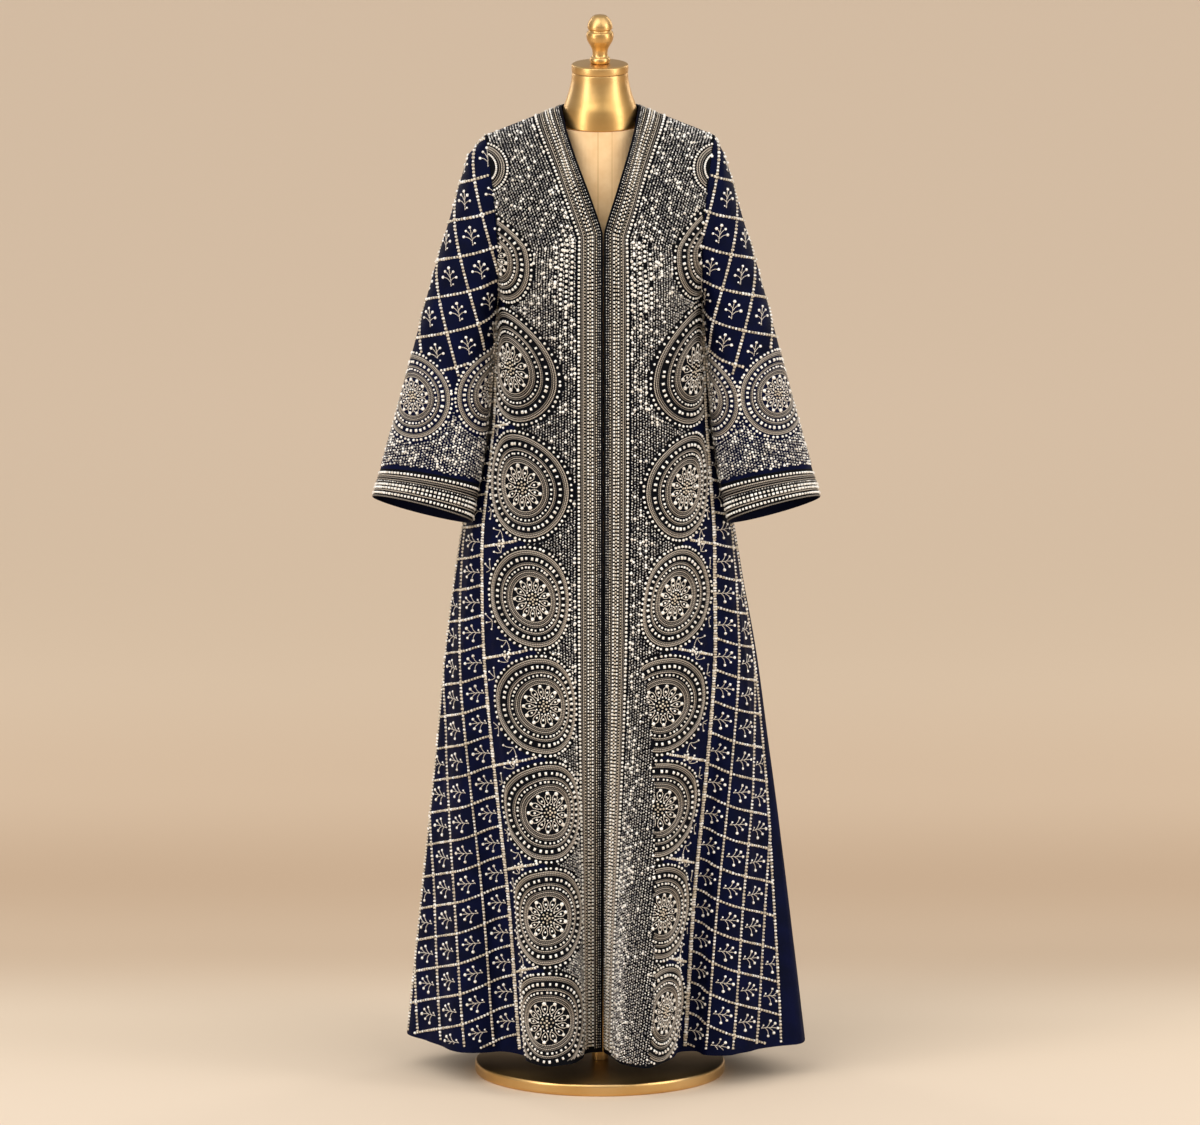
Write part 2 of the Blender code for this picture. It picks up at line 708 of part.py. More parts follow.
def back_band_rows(side):
    """Rows of the standing back of the neck band, centre back to the shoulder."""
    reach = band_reach()
    across_share = np.linspace(0.0, 1.0, BAND_COLUMNS + 1)
    rows = []
    for turn in np.linspace(pi / 2, 0.0, BACK_NECK_ROWS + 1)[:-1]:
        inner_edge = np.array((NECK_SIDE_X * cos(turn), -BACK_NECK_DEPTH * sin(turn),
                               NECK_SIDE_Z - BACK_NECK_DROP * sin(turn)))
        across = reach * cos(turn)
        share = float(back_seam_share(across, 0.0))
        back = BACK_CHEST * np.sqrt(max(1.0 - share ** BACK_SLOPE_POWER, 0.0))
        turn_there = pi - turn_at(across, full_half_width(share))
        _, forward = oval(turn_there, full_half_width(share), 0.0, back)
        height = UNDERARM_Z + (float(shoulder_height(across)) - UNDERARM_Z) * share
        outer_edge = np.array((across, float(forward), height))
        row = [inner_edge + (outer_edge - inner_edge) * s for s in across_share]
        rows.append([(side * p[0], -p[1], p[2]) for p in row])
    return np.array(rows)


def grid_normals(points):
    """Outward directions of a strip from its own slopes."""
    out = np.cross(np.gradient(points, axis=0), np.gradient(points, axis=1))
    out *= np.where(out[..., 2:3] < 0.0, -1.0, 1.0)
    return out / np.linalg.norm(out, axis=-1, keepdims=True)


def add_band(name, side):
    """Front band: up the front edge, along the V, over the shoulder to the centre back."""
    behind = back_band_rows(side)
    behind_out = grid_normals(behind)
    levels = cloak_levels()
    front_points, front_out = [], []
    for level in levels:
        start = front_edge_place(level, side)
        stops = np.linspace(0.0, band_width_at(level), BAND_COLUMNS + 1)
        places, _ = row_places(level, side, start, 1.0, distances=stops)
        front_points.append(body_point(level, places, side))
        front_out.append(body_normal(level, places, side))
    outer = np.concatenate((behind, np.array(front_points)))
    out = np.concatenate((behind_out, np.array(front_out)))
    out[0, :, 0] = 0.0
    out /= np.linalg.norm(out, axis=-1, keepdims=True)
    outer[0, :, 0] = side * SEAM_GAP / 2.0
    inner = outer - out * WALL
    return new_object(name, wall_between(outer, inner, False), "braided_band_cloth")


# ------------------------------------------------------------------ the sleeves
SLEEVE_NAMES = ("down", "outer_x", "outer_z", "inner_x", "inner_z",
                "forward", "toe_in", "half_depth", "front_lift")


def armhole_ring(side):
    """Armhole edge of the body pieces and its outward directions.

    The ring starts at the shoulder tip and runs down the front to the underarm
    and up the back.
    """
    levels = shoulder_levels()
    front = body_point(levels, np.full(len(levels), 1.0), side)
    front_out = body_normal(levels, np.full(len(levels), 1.0), side)
    back = body_point(levels, np.full(len(levels), 2.0), side)
    back_out = body_normal(levels, np.full(len(levels), 2.0), side)
    ring = np.concatenate((front[:-1], back[::-1][:-1]))
    out = np.concatenate((front_out[:-1], back_out[::-1][:-1]))
    return ring, out


def sleeve_turns():
    """Turns round the sleeve, 0 on the outer fold and a quarter turn in front."""
    return np.linspace(0.0, 2.0 * pi, 2 * SHOULDER_ROWS, endpoint=False)


def sleeve_ring(downs, side):
    """One ring of the sleeve; downs holds the share of the way down at each turn."""
    knots = column(SLEEVE_SECTIONS, SLEEVE_NAMES, "down")
    first = knots[0]
    sizes = {name: smooth_through(knots, column(SLEEVE_SECTIONS, SLEEVE_NAMES, name),
                                  np.maximum(downs, first))
             for name in SLEEVE_NAMES[1:]}
    turns = sleeve_turns()
    outer_x = sizes["outer_x"] - (LEFT_SLEEVE_NARROWER if side > 0 else 0.0)
    mid_x = (outer_x + sizes["inner_x"]) / 2.0
    mid_z = (sizes["outer_z"] + sizes["inner_z"]) / 2.0
    half_x = (outer_x - sizes["inner_x"]) / 2.0
    half_z = (sizes["outer_z"] - sizes["inner_z"]) / 2.0
    across = mid_x + half_x * np.cos(turns)
    forward = (sizes["forward"] - sizes["toe_in"] * np.cos(turns)
               + sizes["half_depth"] * np.sin(turns))
    height = mid_z + half_z * np.cos(turns) + sizes["front_lift"] * np.sin(turns)
    hanging = np.stack([side * across, -forward, height], axis=-1)
    armhole, _ = armhole_ring(side)
    share = np.clip(downs / first, 0.0, 1.0)[:, None]
    return armhole + (hanging - armhole) * share


def sleeve_normals(rings, side):
    """Outward directions of the sleeve tube from its slopes."""
    along = np.gradient(rings, axis=0)
    ahead = np.roll(rings, -1, axis=1) - np.roll(rings, 1, axis=1)
    out = np.cross(along, ahead) * -side
    return out / np.linalg.norm(out, axis=-1, keepdims=True)


def add_sleeve_and_cuff(sleeve_name, cuff_name, side):
    """Sleeve tube from the armhole to the cuff seam, and the cuff below it."""
    turns = sleeve_turns()
    seam = 1.0 - CUFF_SHARE * (1.0 + CUFF_INNER_EXTRA * (1.0 - np.cos(turns)) / 2.0)
    gap_share = SEAM_GAP / SLEEVE_LENGTH
    easing = np.linspace(0.0, 1.0, SLEEVE_ROWS + 1) ** 1.25
    rings = [sleeve_ring(seam * share, side) for share in easing]
    for share in np.linspace(0.0, 1.0, CUFF_ROWS + 1):
        start = seam + gap_share
        rings.append(sleeve_ring(start + (1.0 - start) * share, side))
    rings = np.array(rings)
    out = sleeve_normals(rings, side)
    _, body_out = armhole_ring(side)
    high = ((1.0 + np.cos(turns)) / 2.0)[:, None] ** 2
    out[0] = out[0] * (1.0 - high) + body_out * high
    out[0] /= np.linalg.norm(out[0], axis=-1, keepdims=True)
    rings[0] += np.array((side * ARMHOLE_GAP, 0.0, 0.0))
    inner = rings - out * WALL
    count = SLEEVE_ROWS + 1
    new_object(sleeve_name, wall_between(rings[:count], inner[:count], True),
               "beaded_navy_cloth")
    new_object(cuff_name, wall_between(rings[count:], inner[count:], True),
               "braided_band_cloth")


# ---------------------------------------------------------------- the dress form
def form_top(across):
    """Plan half depth and height of the form's top at a distance from the centre."""
    inward = np.exp(-(np.abs(across) / FORM_NECK_SPREAD) ** 3)
    half_depth = FORM_RIDGE_HALF + (FORM_NECK_SEAT_R - FORM_RIDGE_HALF) * inward
    crown = FORM_SHOULDER_Z - FORM_SHOULDER_FALL * (np.abs(across) / FORM_FALL_X) ** 4
    edge = crown - 0.0012 * (1.0 - inward)
    return half_depth, crown, edge


def form_rows():
    """Rows of the form from the bottom up the front, over the top, down the back."""
    turns = np.linspace(-pi / 2, pi / 2, FORM_COLUMNS + 1)
    power = 2.0 / FORM_POWER
    reach = np.sign(turns) * np.abs(np.sin(turns)) ** power
    depth = np.clip(np.cos(turns), 0.0, 1.0) ** power
    depth[0] = depth[-1] = 0.0
    lower, upper = [], []
    for height, half_width, front, back in FORM_SECTIONS:
        lower.append((reach * half_width, depth * front, -depth * back,
                      np.full(len(reach), height)))
    _, side_x, chest, behind = FORM_SECTIONS[-1]
    for share in FORM_UPPER_SHARES:
        across = reach * (side_x + (FORM_SHOULDER_X - side_x) * sin(share * pi / 2))
        half_depth, _, edge = form_top(across)
        fall = 1.0 - share ** FORM_CHEST_POWER
        rise = np.minimum(half_depth, depth * chest) if share < 1.0 else half_depth
        front = np.where(depth > 0, rise * share + (depth * chest - rise * share) * fall, 0.0)
        back = np.where(depth > 0, rise * share + (depth * behind - rise * share) * fall, 0.0)
        height = UNDERARM_Z + (edge - UNDERARM_Z) * share
        upper.append((across, front, -back, height))
    across = reach * FORM_SHOULDER_X
    _, crown, edge = form_top(across)
    crown = np.where(depth > 0, crown, edge)
    rows = [np.stack([a, -f, z], axis=-1) for a, f, b, z in lower + upper]
    rows.append(np.stack([across, 0.0 * across, crown], axis=-1))
    rows += [np.stack([a, -b, z], axis=-1) for a, f, b, z in (lower + upper)[::-1]]
    bottom = lower[0]
    rows.append(np.stack([bottom[0], 0.0 * bottom[0], bottom[3]], axis=-1))
    return np.array(rows)


def add_form(name):
    """Limbless torso, smooth and closed, that the cloak hangs on."""
    rows = form_rows()
    builder = bmesh.new()
    grid = [[builder.verts.new(point) for point in row] for row in rows]
    count = len(grid)
    for r in range(count):
        for c in range(FORM_COLUMNS):
            below, above = grid[r], grid[(r + 1) % count]
            builder.faces.new((below[c], below[c + 1], above[c + 1], above[c]))
    bmesh.ops.remove_doubles(builder, verts=builder.verts, dist=1e-6)
    bmesh.ops.dissolve_degenerate(builder, dist=1e-6, edges=builder.edges)
    bmesh.ops.recalc_face_normals(builder, faces=builder.faces)
    if builder.calc_volume(signed=True) < 0.0:
        bmesh.ops.reverse_faces(builder, faces=builder.faces)
    return new_object(name, builder, "form_jersey")


def add_turned(name, turning, steps, material):
    """Solid of revolution from a radius and height table that starts and ends on the axis."""
    builder = bmesh.new()
    line = [builder.verts.new((radius, 0.0, height)) for radius, height in turning]
    edges = [builder.edges.new(pair) for pair in zip(line, line[1:])]
    bmesh.ops.spin(builder, geom=line + edges, cent=(0.0, 0.0, 0.0), axis=(0.0, 0.0, 1.0),
                   angle=2.0 * pi, steps=steps, use_merge=True)
    bmesh.ops.remove_doubles(builder, verts=builder.verts, dist=1e-6)
    bmesh.ops.recalc_face_normals(builder, faces=builder.faces)
    if builder.calc_volume(signed=True) < 0.0:
        bmesh.ops.reverse_faces(builder, faces=builder.faces)
    return new_object(name, builder, material)


def build():
    """Build the cloak and the form it stands on."""
    for thing in list(bpy.data.objects):
        bpy.data.objects.remove(thing, do_unlink=True)
    for word, side in (("right", -1), ("left", 1)):
        add_front(f"front_{word}", side)
        add_gore(f"side_gore_{word}", side)
        add_band(f"front_band_{word}", side)
        add_sleeve_and_cuff(f"sleeve_{word}", f"cuff_{word}", side)
    add_backs("back_right", "back_left")
    add_form("form_torso")
    add_turned("form_neck", NECK_TURNING, TURNED_STEPS, "brushed_brass")
    add_turned("neck_cap", CAP_TURNING, TURNED_STEPS, "brushed_brass")
    add_turned("finial", FINIAL_TURNING, FINIAL_STEPS, "brushed_brass")
    pole = ((0.0, POLE_BOTTOM), (POLE_R, POLE_BOTTOM), (POLE_R, POLE_TOP), (0.0, POLE_TOP))
    add_turned("pole", pole, POLE_STEPS, "brushed_brass")
    add_turned("base_disc", BASE_TURNING, BASE_STEPS, "brushed_brass")


build()
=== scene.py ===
"""An abaya cloak on a limbless dress form, finished for a studio picture.

Every cloth piece is a thin shell hung on the same body and sleeve shapes as the
solids, with softer and finer folds.  The embroidery is laid on the cloth as a
maker would: cords first, then couched threads, then beads.  Each finds its place
through the piece's own chart, two flat coordinates for every point of the cloth.
"""
from math import cos, pi, radians, sin, sqrt, tau

import bmesh
import bpy
import mathutils
import numpy as np
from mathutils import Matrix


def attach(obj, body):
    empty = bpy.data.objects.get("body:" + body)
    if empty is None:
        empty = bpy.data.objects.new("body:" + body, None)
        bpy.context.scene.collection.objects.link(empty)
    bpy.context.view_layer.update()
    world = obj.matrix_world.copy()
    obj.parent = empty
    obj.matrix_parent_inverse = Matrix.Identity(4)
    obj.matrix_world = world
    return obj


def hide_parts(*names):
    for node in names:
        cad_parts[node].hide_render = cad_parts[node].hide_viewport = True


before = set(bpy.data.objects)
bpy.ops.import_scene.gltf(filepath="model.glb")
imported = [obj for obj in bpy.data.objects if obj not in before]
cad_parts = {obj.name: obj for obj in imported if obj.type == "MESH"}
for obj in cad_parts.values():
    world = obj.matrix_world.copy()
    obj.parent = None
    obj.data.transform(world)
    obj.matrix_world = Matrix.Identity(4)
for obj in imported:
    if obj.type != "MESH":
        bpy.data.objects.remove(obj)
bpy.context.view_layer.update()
CHANCE = np.random.default_rng(7)

# ---- cloth sizes ----
WALL = 0.0018  # cloth with its embroidery backing
SEAM_GAP = 0.0003  # between two pieces at a seam
NECK_SEAM_GAP = 0.0009  # under the standing back of the neck band
ARMHOLE_GAP = 0.0006  # between the body pieces and the sleeve head
BAND_WIDTH = 0.038  # front band, hem to neck
BAND_SHOULDER_EASE = 0.005  # the band is this much wider on the shoulder
FRONT_EDGE_HALF_GAP = 0.0009  # the two front edges hang this far from the centre line
FRONT_LEAN = 0.0050  # the closing line sits this far to the wearer's left
CUFF_SHARE = 0.075  # applied cuff as a share of the sleeve, on the outer fold
CUFF_INNER_EXTRA = 0.62  # the cuff takes this much more of the share on the inner fold
LEFT_SLEEVE_NARROWER = 0.011  # the left sleeve's outer fold hangs this much closer in
OVAL_POWER = 2.2  # squareness of the body's horizontal sections

UNDERARM_Z = 1.190
HEM_Z = 0.050
FOLD_TOP_Z = 1.060  # the skirt's folds die out at this height
FOLD_GROWTH = 1.25  # how the folds deepen towards the hem
SHOULDER_TIP_X = 0.171
SHOULDER_TIP_Z = 1.432
NECK_SIDE_X = 0.0585  # neck edge on the shoulder line
NECK_SIDE_Z = 1.4767
SHOULDER_FALL = (NECK_SIDE_Z - SHOULDER_TIP_Z) / (SHOULDER_TIP_X - NECK_SIDE_X)
NECK_RISE = 0.039  # how far the shape would climb inside the neck hole
UNDERARM_X = 0.152
FULL_SHOULDER_X = 0.200  # half width of the uncut body shape at the shoulder
SLEEVE_LENGTH = 0.570  # shoulder tip to cuff edge down the outer fold
ARMHOLE_SCOOP = 0.006  # the armhole cuts in by this much half way up
FRONT_CHEST = 0.125
BACK_CHEST = 0.118
FRONT_SLOPE_POWER = 1.4  # chest falls away early
BACK_SLOPE_POWER = 2.5  # upper back stays full
V_POINT_SHARE = 0.327  # height of the V point as a share of the upper body
NECK_BOW = 0.28  # how far the V's edge bows outwards, and where it is strongest
NECK_BOW_POWER = 2.7
LEAN_DIES_OVER = 0.5  # share of the upper body over which the closing line straightens
BACK_NECK_DEPTH = 0.068  # neck edge behind the form's neck
BACK_NECK_DROP = 0.005
BACK_SEAM_DROP = 0.020  # fall of the band-to-back seam from the shoulder line

# Horizontal half sections of the skirt; the skirt hangs a little wider on the right
SKIRT_SECTIONS = np.array((
    # height, half_width_right, half_width_left, front, back
    (1.190, 0.152, 0.152, 0.125, 0.118),
    (1.100, 0.157, 0.157, 0.127, 0.119),
    (1.000, 0.166, 0.166, 0.129, 0.123),
    (0.920, 0.184, 0.181, 0.131, 0.129),
    (0.840, 0.206, 0.199, 0.133, 0.135),
    (0.750, 0.221, 0.213, 0.136, 0.142),
    (0.660, 0.233, 0.228, 0.139, 0.149),
    (0.477, 0.252, 0.249, 0.145, 0.161),
    (0.290, 0.273, 0.271, 0.150, 0.173),
    (0.050, 0.300, 0.300, 0.155, 0.186),
))

# Where the two gore seams run, as the turn from the front centre, in degrees
GORE_SEAMS = np.array((
    # height, front_seam, side_seam_right, side_seam_left
    (1.190, 86.0, 90.0, 90.0),
    (1.000, 70.0, 90.0, 90.0),
    (0.860, 57.0, 90.0, 90.0),
    (0.650, 44.5, 90.0, 89.0),
    (0.510, 37.0, 90.0, 86.0),
    (0.310, 27.5, 90.0, 75.0),
    (0.050, 20.0, 90.0, 65.0),
))

# The hem as seen from above, across and forward, along each cut piece in turn
HEM = {
    -1: {  # wearer's right
        "front": ((-0.0040, 0.100), (0.0165, 0.107), (0.0270, 0.150), (0.0490, 0.192),
                  (0.0800, 0.203), (0.1055, 0.173), (0.1170, 0.122)),
        "gore": ((0.1460, 0.098), (0.1790, 0.108), (0.2060, 0.106), (0.2360, 0.060),
                 (0.2660, 0.014), (0.2900, -0.030)),
        "back": ((0.2760, -0.082), (0.2360, -0.104), (0.2090, -0.144), (0.1780, -0.184),
                 (0.1380, -0.176), (0.1040, -0.181), (0.0680, -0.213), (0.0320, -0.204),
                 (0.0000, -0.186)),
    },
    1: {  # wearer's left
        "front": ((0.0050, 0.100), (0.0150, 0.130), (0.0380, 0.193), (0.0700, 0.217),
                  (0.0880, 0.191), (0.1070, 0.148), (0.1240, 0.098)),
        "gore": ((0.1410, 0.094), (0.1590, 0.124), (0.1900, 0.128), (0.2140, 0.106),
                 (0.2440, 0.075), (0.2745, 0.056)),
        "back": ((0.3000, 0.044), (0.3090, 0.010), (0.2920, -0.052), (0.2560, -0.092),
                 (0.2280, -0.140), (0.1960, -0.184), (0.1560, -0.178), (0.1180, -0.172),
                 (0.0840, -0.204), (0.0420, -0.208), (0.0000, -0.186)),
    },
}

# Soft creases in the skirt between the main folds.  The place runs 0 to 1 over
# the front, 1 to 2 over the gore and 2 to 3 over half of the back.
SKIRT_CREASES = {
    # place at the top, place at the hem, top, full at, half width, depth
    -1: (
        (0.62, 0.50, 1.02, 0.70, 0.060, -0.0022),
        (0.86, 0.84, 0.98, 0.55, 0.050, 0.0020),
        (1.30, 1.22, 0.96, 0.55, 0.075, -0.0030),
        (1.62, 1.52, 0.90, 0.42, 0.070, 0.0026),
        (1.84, 1.80, 1.00, 0.60, 0.060, -0.0022),
        (2.18, 2.12, 1.05, 0.66, 0.050, -0.0034),
        (2.46, 2.40, 1.00, 0.52, 0.045, 0.0030),
        (2.72, 2.76, 1.06, 0.62, 0.050, -0.0036),
    ),
    1: (
        (0.60, 0.46, 1.00, 0.62, 0.060, -0.0020),
        (0.84, 0.88, 0.96, 0.52, 0.045, 0.0018),
        (1.26, 1.34, 0.92, 0.50, 0.080, -0.0030),
        (1.60, 1.66, 0.98, 0.60, 0.060, 0.0024),
        (2.10, 2.20, 0.94, 0.45, 0.060, -0.0030),
        (2.38, 2.34, 1.04, 0.64, 0.045, 0.0034),
        (2.66, 2.62, 1.00, 0.50, 0.050, -0.0040),
        (2.90, 2.92, 1.08, 0.70, 0.040, 0.0026),
    ),
}
CREASE_FREE_FRONT = 0.25  # the creases die out over this much place at the front edge
CREASE_FREE_BACK = 0.06  # and over this much at the centre back

# Sleeve sections below the armhole
SLEEVE_SECTIONS = np.array((
    # down, outer across, outer height, inner across, inner height, forward, toe in,
    # half depth, front lift
    (0.06, 0.1980, 1.4010, 0.1545, 1.1720, 0.000, 0.000, 0.068, 0.000),
    (0.22, 0.2240, 1.3090, 0.1588, 1.1200, 0.002, 0.001, 0.070, 0.002),
    (0.38, 0.2490, 1.2250, 0.1628, 1.0720, 0.006, 0.003, 0.067, 0.005),
    (0.55, 0.2735, 1.1330, 0.1654, 1.0300, 0.014, 0.006, 0.063, 0.009),
    (0.78, 0.3070, 1.0060, 0.1738, 0.9500, 0.030, 0.013, 0.059, 0.014),
    (1.00, 0.3410, 0.8850, 0.1918, 0.8545, 0.045, 0.020, 0.056, 0.018),
))

# Soft drag creases in the sleeves, from the underarm down and round the elbow
SLEEVE_CREASES = {
    # turn at the top, turn at the bottom, down from, down to, half width, depth
    -1: (
        (2.70, 1.90, 0.06, 0.62, 0.20, -0.0030),
        (2.30, 1.20, 0.20, 0.80, 0.16, 0.0020),
        (4.10, 4.70, 0.10, 0.75, 0.24, -0.0034),
        (5.10, 5.30, 0.30, 0.95, 0.22, 0.0024),
    ),
    1: (
        (2.80, 2.10, 0.08, 0.56, 0.18, -0.0028),
        (2.20, 1.40, 0.26, 0.86, 0.18, 0.0020),
        (3.90, 4.50, 0.12, 0.70, 0.22, -0.0030),
        (5.00, 5.40, 0.34, 0.92, 0.20, 0.0024),
    ),
}
CREASE_FLATTENED = 0.8  # a sleeve crease pushes less to the side than forwards

# The dress form
FORM_POWER = 2.2
FORM_SHOULDER_Z = 1.4475
FORM_SHOULDER_FALL = 0.0167  # at FORM_FALL_X
FORM_FALL_X = 0.168
FORM_SHOULDER_X = 0.170
FORM_NECK_SEAT_R = 0.0595
FORM_RIDGE_HALF = 0.004
FORM_NECK_SPREAD = 0.058
FORM_CHEST_POWER = 1.6
FORM_EDGE_DROP = 0.0012  # the edge of the form's top lies this far under its crown
FORM_SECTIONS = (
    # height, half_width, front, back
    (0.772, 0.128, 0.084, 0.090),
    (0.780, 0.142, 0.096, 0.102),
    (0.800, 0.149, 0.101, 0.109),
    (0.860, 0.155, 0.105, 0.114),
    (0.940, 0.142, 0.097, 0.103),
    (1.030, 0.118, 0.086, 0.084),
    (1.110, 0.126, 0.098, 0.088),
    (1.190, 0.137, 0.108, 0.096),
)
FORM_FINE_COLUMNS = 56
FORM_LOWER_ROWS = 30
FORM_UPPER_ROWS = 26
FORM_ROWS_EASING = 0.8  # the upper rows lie closer together at the shoulder

BASE_TURNING = (
    # radius, height
    (0.0000, 0.0000), (0.1850, 0.0000), (0.1868, 0.0016), (0.1875, 0.0045),
    (0.1875, 0.0135), (0.1868, 0.0164), (0.1850, 0.0180), (0.0000, 0.0180),
)
POLE_TURNING = (
    # radius, height
    (0.0000, 0.0183), (0.0125, 0.0183), (0.0125, 0.7717), (0.0000, 0.7717),
)
NECK_TURNING = (
    # radius, height
    (0.0000, 1.4478), (0.0566, 1.4478), (0.0575, 1.4490), (0.0571, 1.4560),
    (0.0561, 1.4660), (0.0541, 1.4770), (0.0489, 1.4920), (0.0449, 1.5060),
    (0.0426, 1.5180), (0.0419, 1.5270), (0.0414, 1.5284), (0.0000, 1.5284),
)
CAP_TURNING = (
    # radius, height
    (0.0000, 1.5287), (0.0412, 1.5287), (0.0424, 1.5300), (0.0426, 1.5345),
    (0.0424, 1.5392), (0.0410, 1.5408), (0.0380, 1.5416), (0.0000, 1.5416),
)
FINIAL_TURNING = (
    # radius, height
    (0.0000, 1.5419), (0.0128, 1.5419), (0.0146, 1.5440), (0.0152, 1.5472),
    (0.0144, 1.5504), (0.0118, 1.5530), (0.0112, 1.5560), (0.0116, 1.5610),
    (0.0132, 1.5660), (0.0166, 1.5720), (0.0195, 1.5780), (0.0204, 1.5835),
    (0.0196, 1.5890), (0.0170, 1.5918), (0.0168, 1.5930), (0.0186, 1.5950),
    (0.0187, 1.5985), (0.0174, 1.6040), (0.0140, 1.6098), (0.0086, 1.6146),
    (0.0000, 1.6162),
)
# Rows and columns of the shells
SHOULDER_ROWS = 36
SKIRT_ROWS = 112
FRONT_COLUMNS = 38
GORE_COLUMNS = 28
BAND_COLUMNS = 8
BACK_NECK_ROWS = 18
BACK_HALF_COLUMNS = 40
SLEEVE_ROWS = 56
SLEEVE_COLUMNS = 72
CUFF_ROWS = 9
# Faces that meet at more than this keep a sharp edge between them
CLOTH_SHARP, TURNED_SHARP, FORM_SHARP = np.radians((50.0, 40.0, 45.0))


# ---- shape of the cloth ----
TINY = 1e-12  # least size that anything is divided by
SAME_SPOT = 1e-6  # points closer than this are joined


def hermite(t, low, high, rise_low, rise_high):
    """Cubic from low at 0 to high at 1 that leaves and arrives with the given rises."""
    square, cube = t * t, t * t * t
    return ((2 * cube - 3 * square + 1) * low + (cube - 2 * square + t) * rise_low
            + (3 * square - 2 * cube) * high + (cube - square) * rise_high)


def smooth_through(knots, values, at):
    """Cubic curve through the values at rising knots, held level past the ends."""
    knots = np.asarray(knots, dtype=float)
    values = np.asarray(values, dtype=float)
    at = np.asarray(at, dtype=float)
    slope = np.gradient(values, knots, axis=0)
    place = np.clip(np.searchsorted(knots, at, side="right") - 1, 0, len(knots) - 2)
    span = knots[place + 1] - knots[place]
    t = np.clip((at - knots[place]) / span, 0.0, 1.0)
    if values.ndim > 1:
        t = t[..., None]
        span = span[..., None]
    return hermite(t, values[place], values[place + 1], slope[place] * span,
                   slope[place + 1] * span)


def at_height(table, column, height):
    """A table column read at a height; the table runs from the top down."""
    return smooth_through(table[::-1, 0], table[::-1, column], height)


def together(*parts):
    """The parts as the last axis of one array, each spread to the shape of them all."""
    return np.stack(np.broadcast_arrays(*parts), axis=-1)


def even_shares(count):
    """Shares from 0 to 1 in so many even steps."""
    return np.linspace(0.0, 1.0, count + 1)


def soft_step(low, high, at):
    """0 below low, 1 above high and a smooth rise between."""
    t = np.clip((at - low) / (high - low), 0.0, 1.0)
    return t * t * (3.0 - 2.0 * t)


def bell(at, centre, half_width):
    """1 at the centre, falling off on both sides as a bell curve does."""
    return np.exp(-((at - centre) / half_width) ** 2)


def unit(vectors):
    """The vectors at length one."""
    return vectors / np.maximum(np.linalg.norm(vectors, axis=-1, keepdims=True), TINY)


def crossed(one, other):
    """Signed area between two flat vectors."""
    return one[..., 0] * other[..., 1] - one[..., 1] * other[..., 0]


def nonzero(sizes):
    """Sizes that can be divided by."""
    return np.where(np.abs(sizes) < TINY, TINY, sizes)


def lengths_along(points, axis=1):
    """Running length along the rows (axis 1) or columns (axis 0) of a grid of points."""
    steps = np.linalg.norm(np.diff(points, axis=axis), axis=-1)
    start = np.zeros_like(np.take(steps, [0], axis=axis))
    return np.concatenate((start, np.cumsum(steps, axis=axis)), axis=axis)


def shoulder_height(across):
    """Height of the shoulder line: a straight fall, with a dome inside the neck hole."""
    across = np.abs(across)
    inside = np.clip(1.0 - (across / NECK_SIDE_X) ** 2, 0.0, 1.0)
    return NECK_SIDE_Z - SHOULDER_FALL * (across - NECK_SIDE_X) + NECK_RISE * inside


def full_half_width(share):
    """Half width of the uncut upper body at a share of the way to the shoulder."""
    return UNDERARM_X + (FULL_SHOULDER_X - UNDERARM_X) * np.sin(share * pi / 2)


def armhole_across(share):
    """Distance from the centre at which the armhole cuts the body shape."""
    straight = UNDERARM_X + (SHOULDER_TIP_X - UNDERARM_X) * share
    return straight - ARMHOLE_SCOOP * np.sin(share * pi)


def turn_at(across, half_width):
    """Turn from the centre at which the oval section reaches a distance across."""
    return np.arcsin(np.clip(across / half_width, 0.0, 1.0) ** (OVAL_POWER / 2))


def armhole_turn(share, front):
    """Turn of the armhole edge at a share of the way up, from the centre line."""
    turn = turn_at(armhole_across(share), full_half_width(share))
    return np.minimum(turn, radians(GORE_SEAMS[0][1])) if front else turn


def neck_edge_across(share):
    """Half width of the V neck at a share of the way up the body."""
    climb = np.clip((share - V_POINT_SHARE) / (1.0 - V_POINT_SHARE), 0.0, 1.0)
    bowed = (1.0 + NECK_BOW) * climb - NECK_BOW * climb ** NECK_BOW_POWER
    return np.maximum(NECK_SIDE_X * bowed, FRONT_EDGE_HALF_GAP)


def hem_shape(pieces):
    """Knots of the hem: chord length, across and forward, and where each piece ends."""
    points = np.concatenate(list(pieces.values()))
    along = lengths_along(points[None])[0]
    last = np.cumsum([len(spots) for spots in pieces.values()]) - 1
    return along, points, np.append(0.0, along[last])


HEM_KNOTS = {side: hem_shape(pieces) for side, pieces in HEM.items()}


def hem_point(place, side):
    """Hem plan at a place: 0-1 front, 1-2 gore, 2-3 back."""
    along, points, ends = HEM_KNOTS[side]
    return smooth_through(along, points, np.interp(place, (0.0, 1.0, 2.0, 3.0), ends))


def oval(turn, half_width, front, back):
    """Squared oval section: across and forward for a turn from the front centre."""
    power = 2.0 / OVAL_POWER
    ahead = np.cos(turn)
    across = half_width * np.abs(np.sin(turn)) ** power
    forward = np.sign(ahead) * np.where(ahead >= 0.0, front, back) * np.abs(ahead) ** power
    return across, forward


def turn_of(place, first_seam, second_seam):
    """Turn from the front centre of a place, given the turns of the seams at 1 and 2."""
    return np.where(place <= 1.0, place * first_seam,
                    np.where(place <= 2.0,
                             first_seam + (place - 1.0) * (second_seam - first_seam),
                             second_seam + (place - 2.0) * (pi - second_seam)))


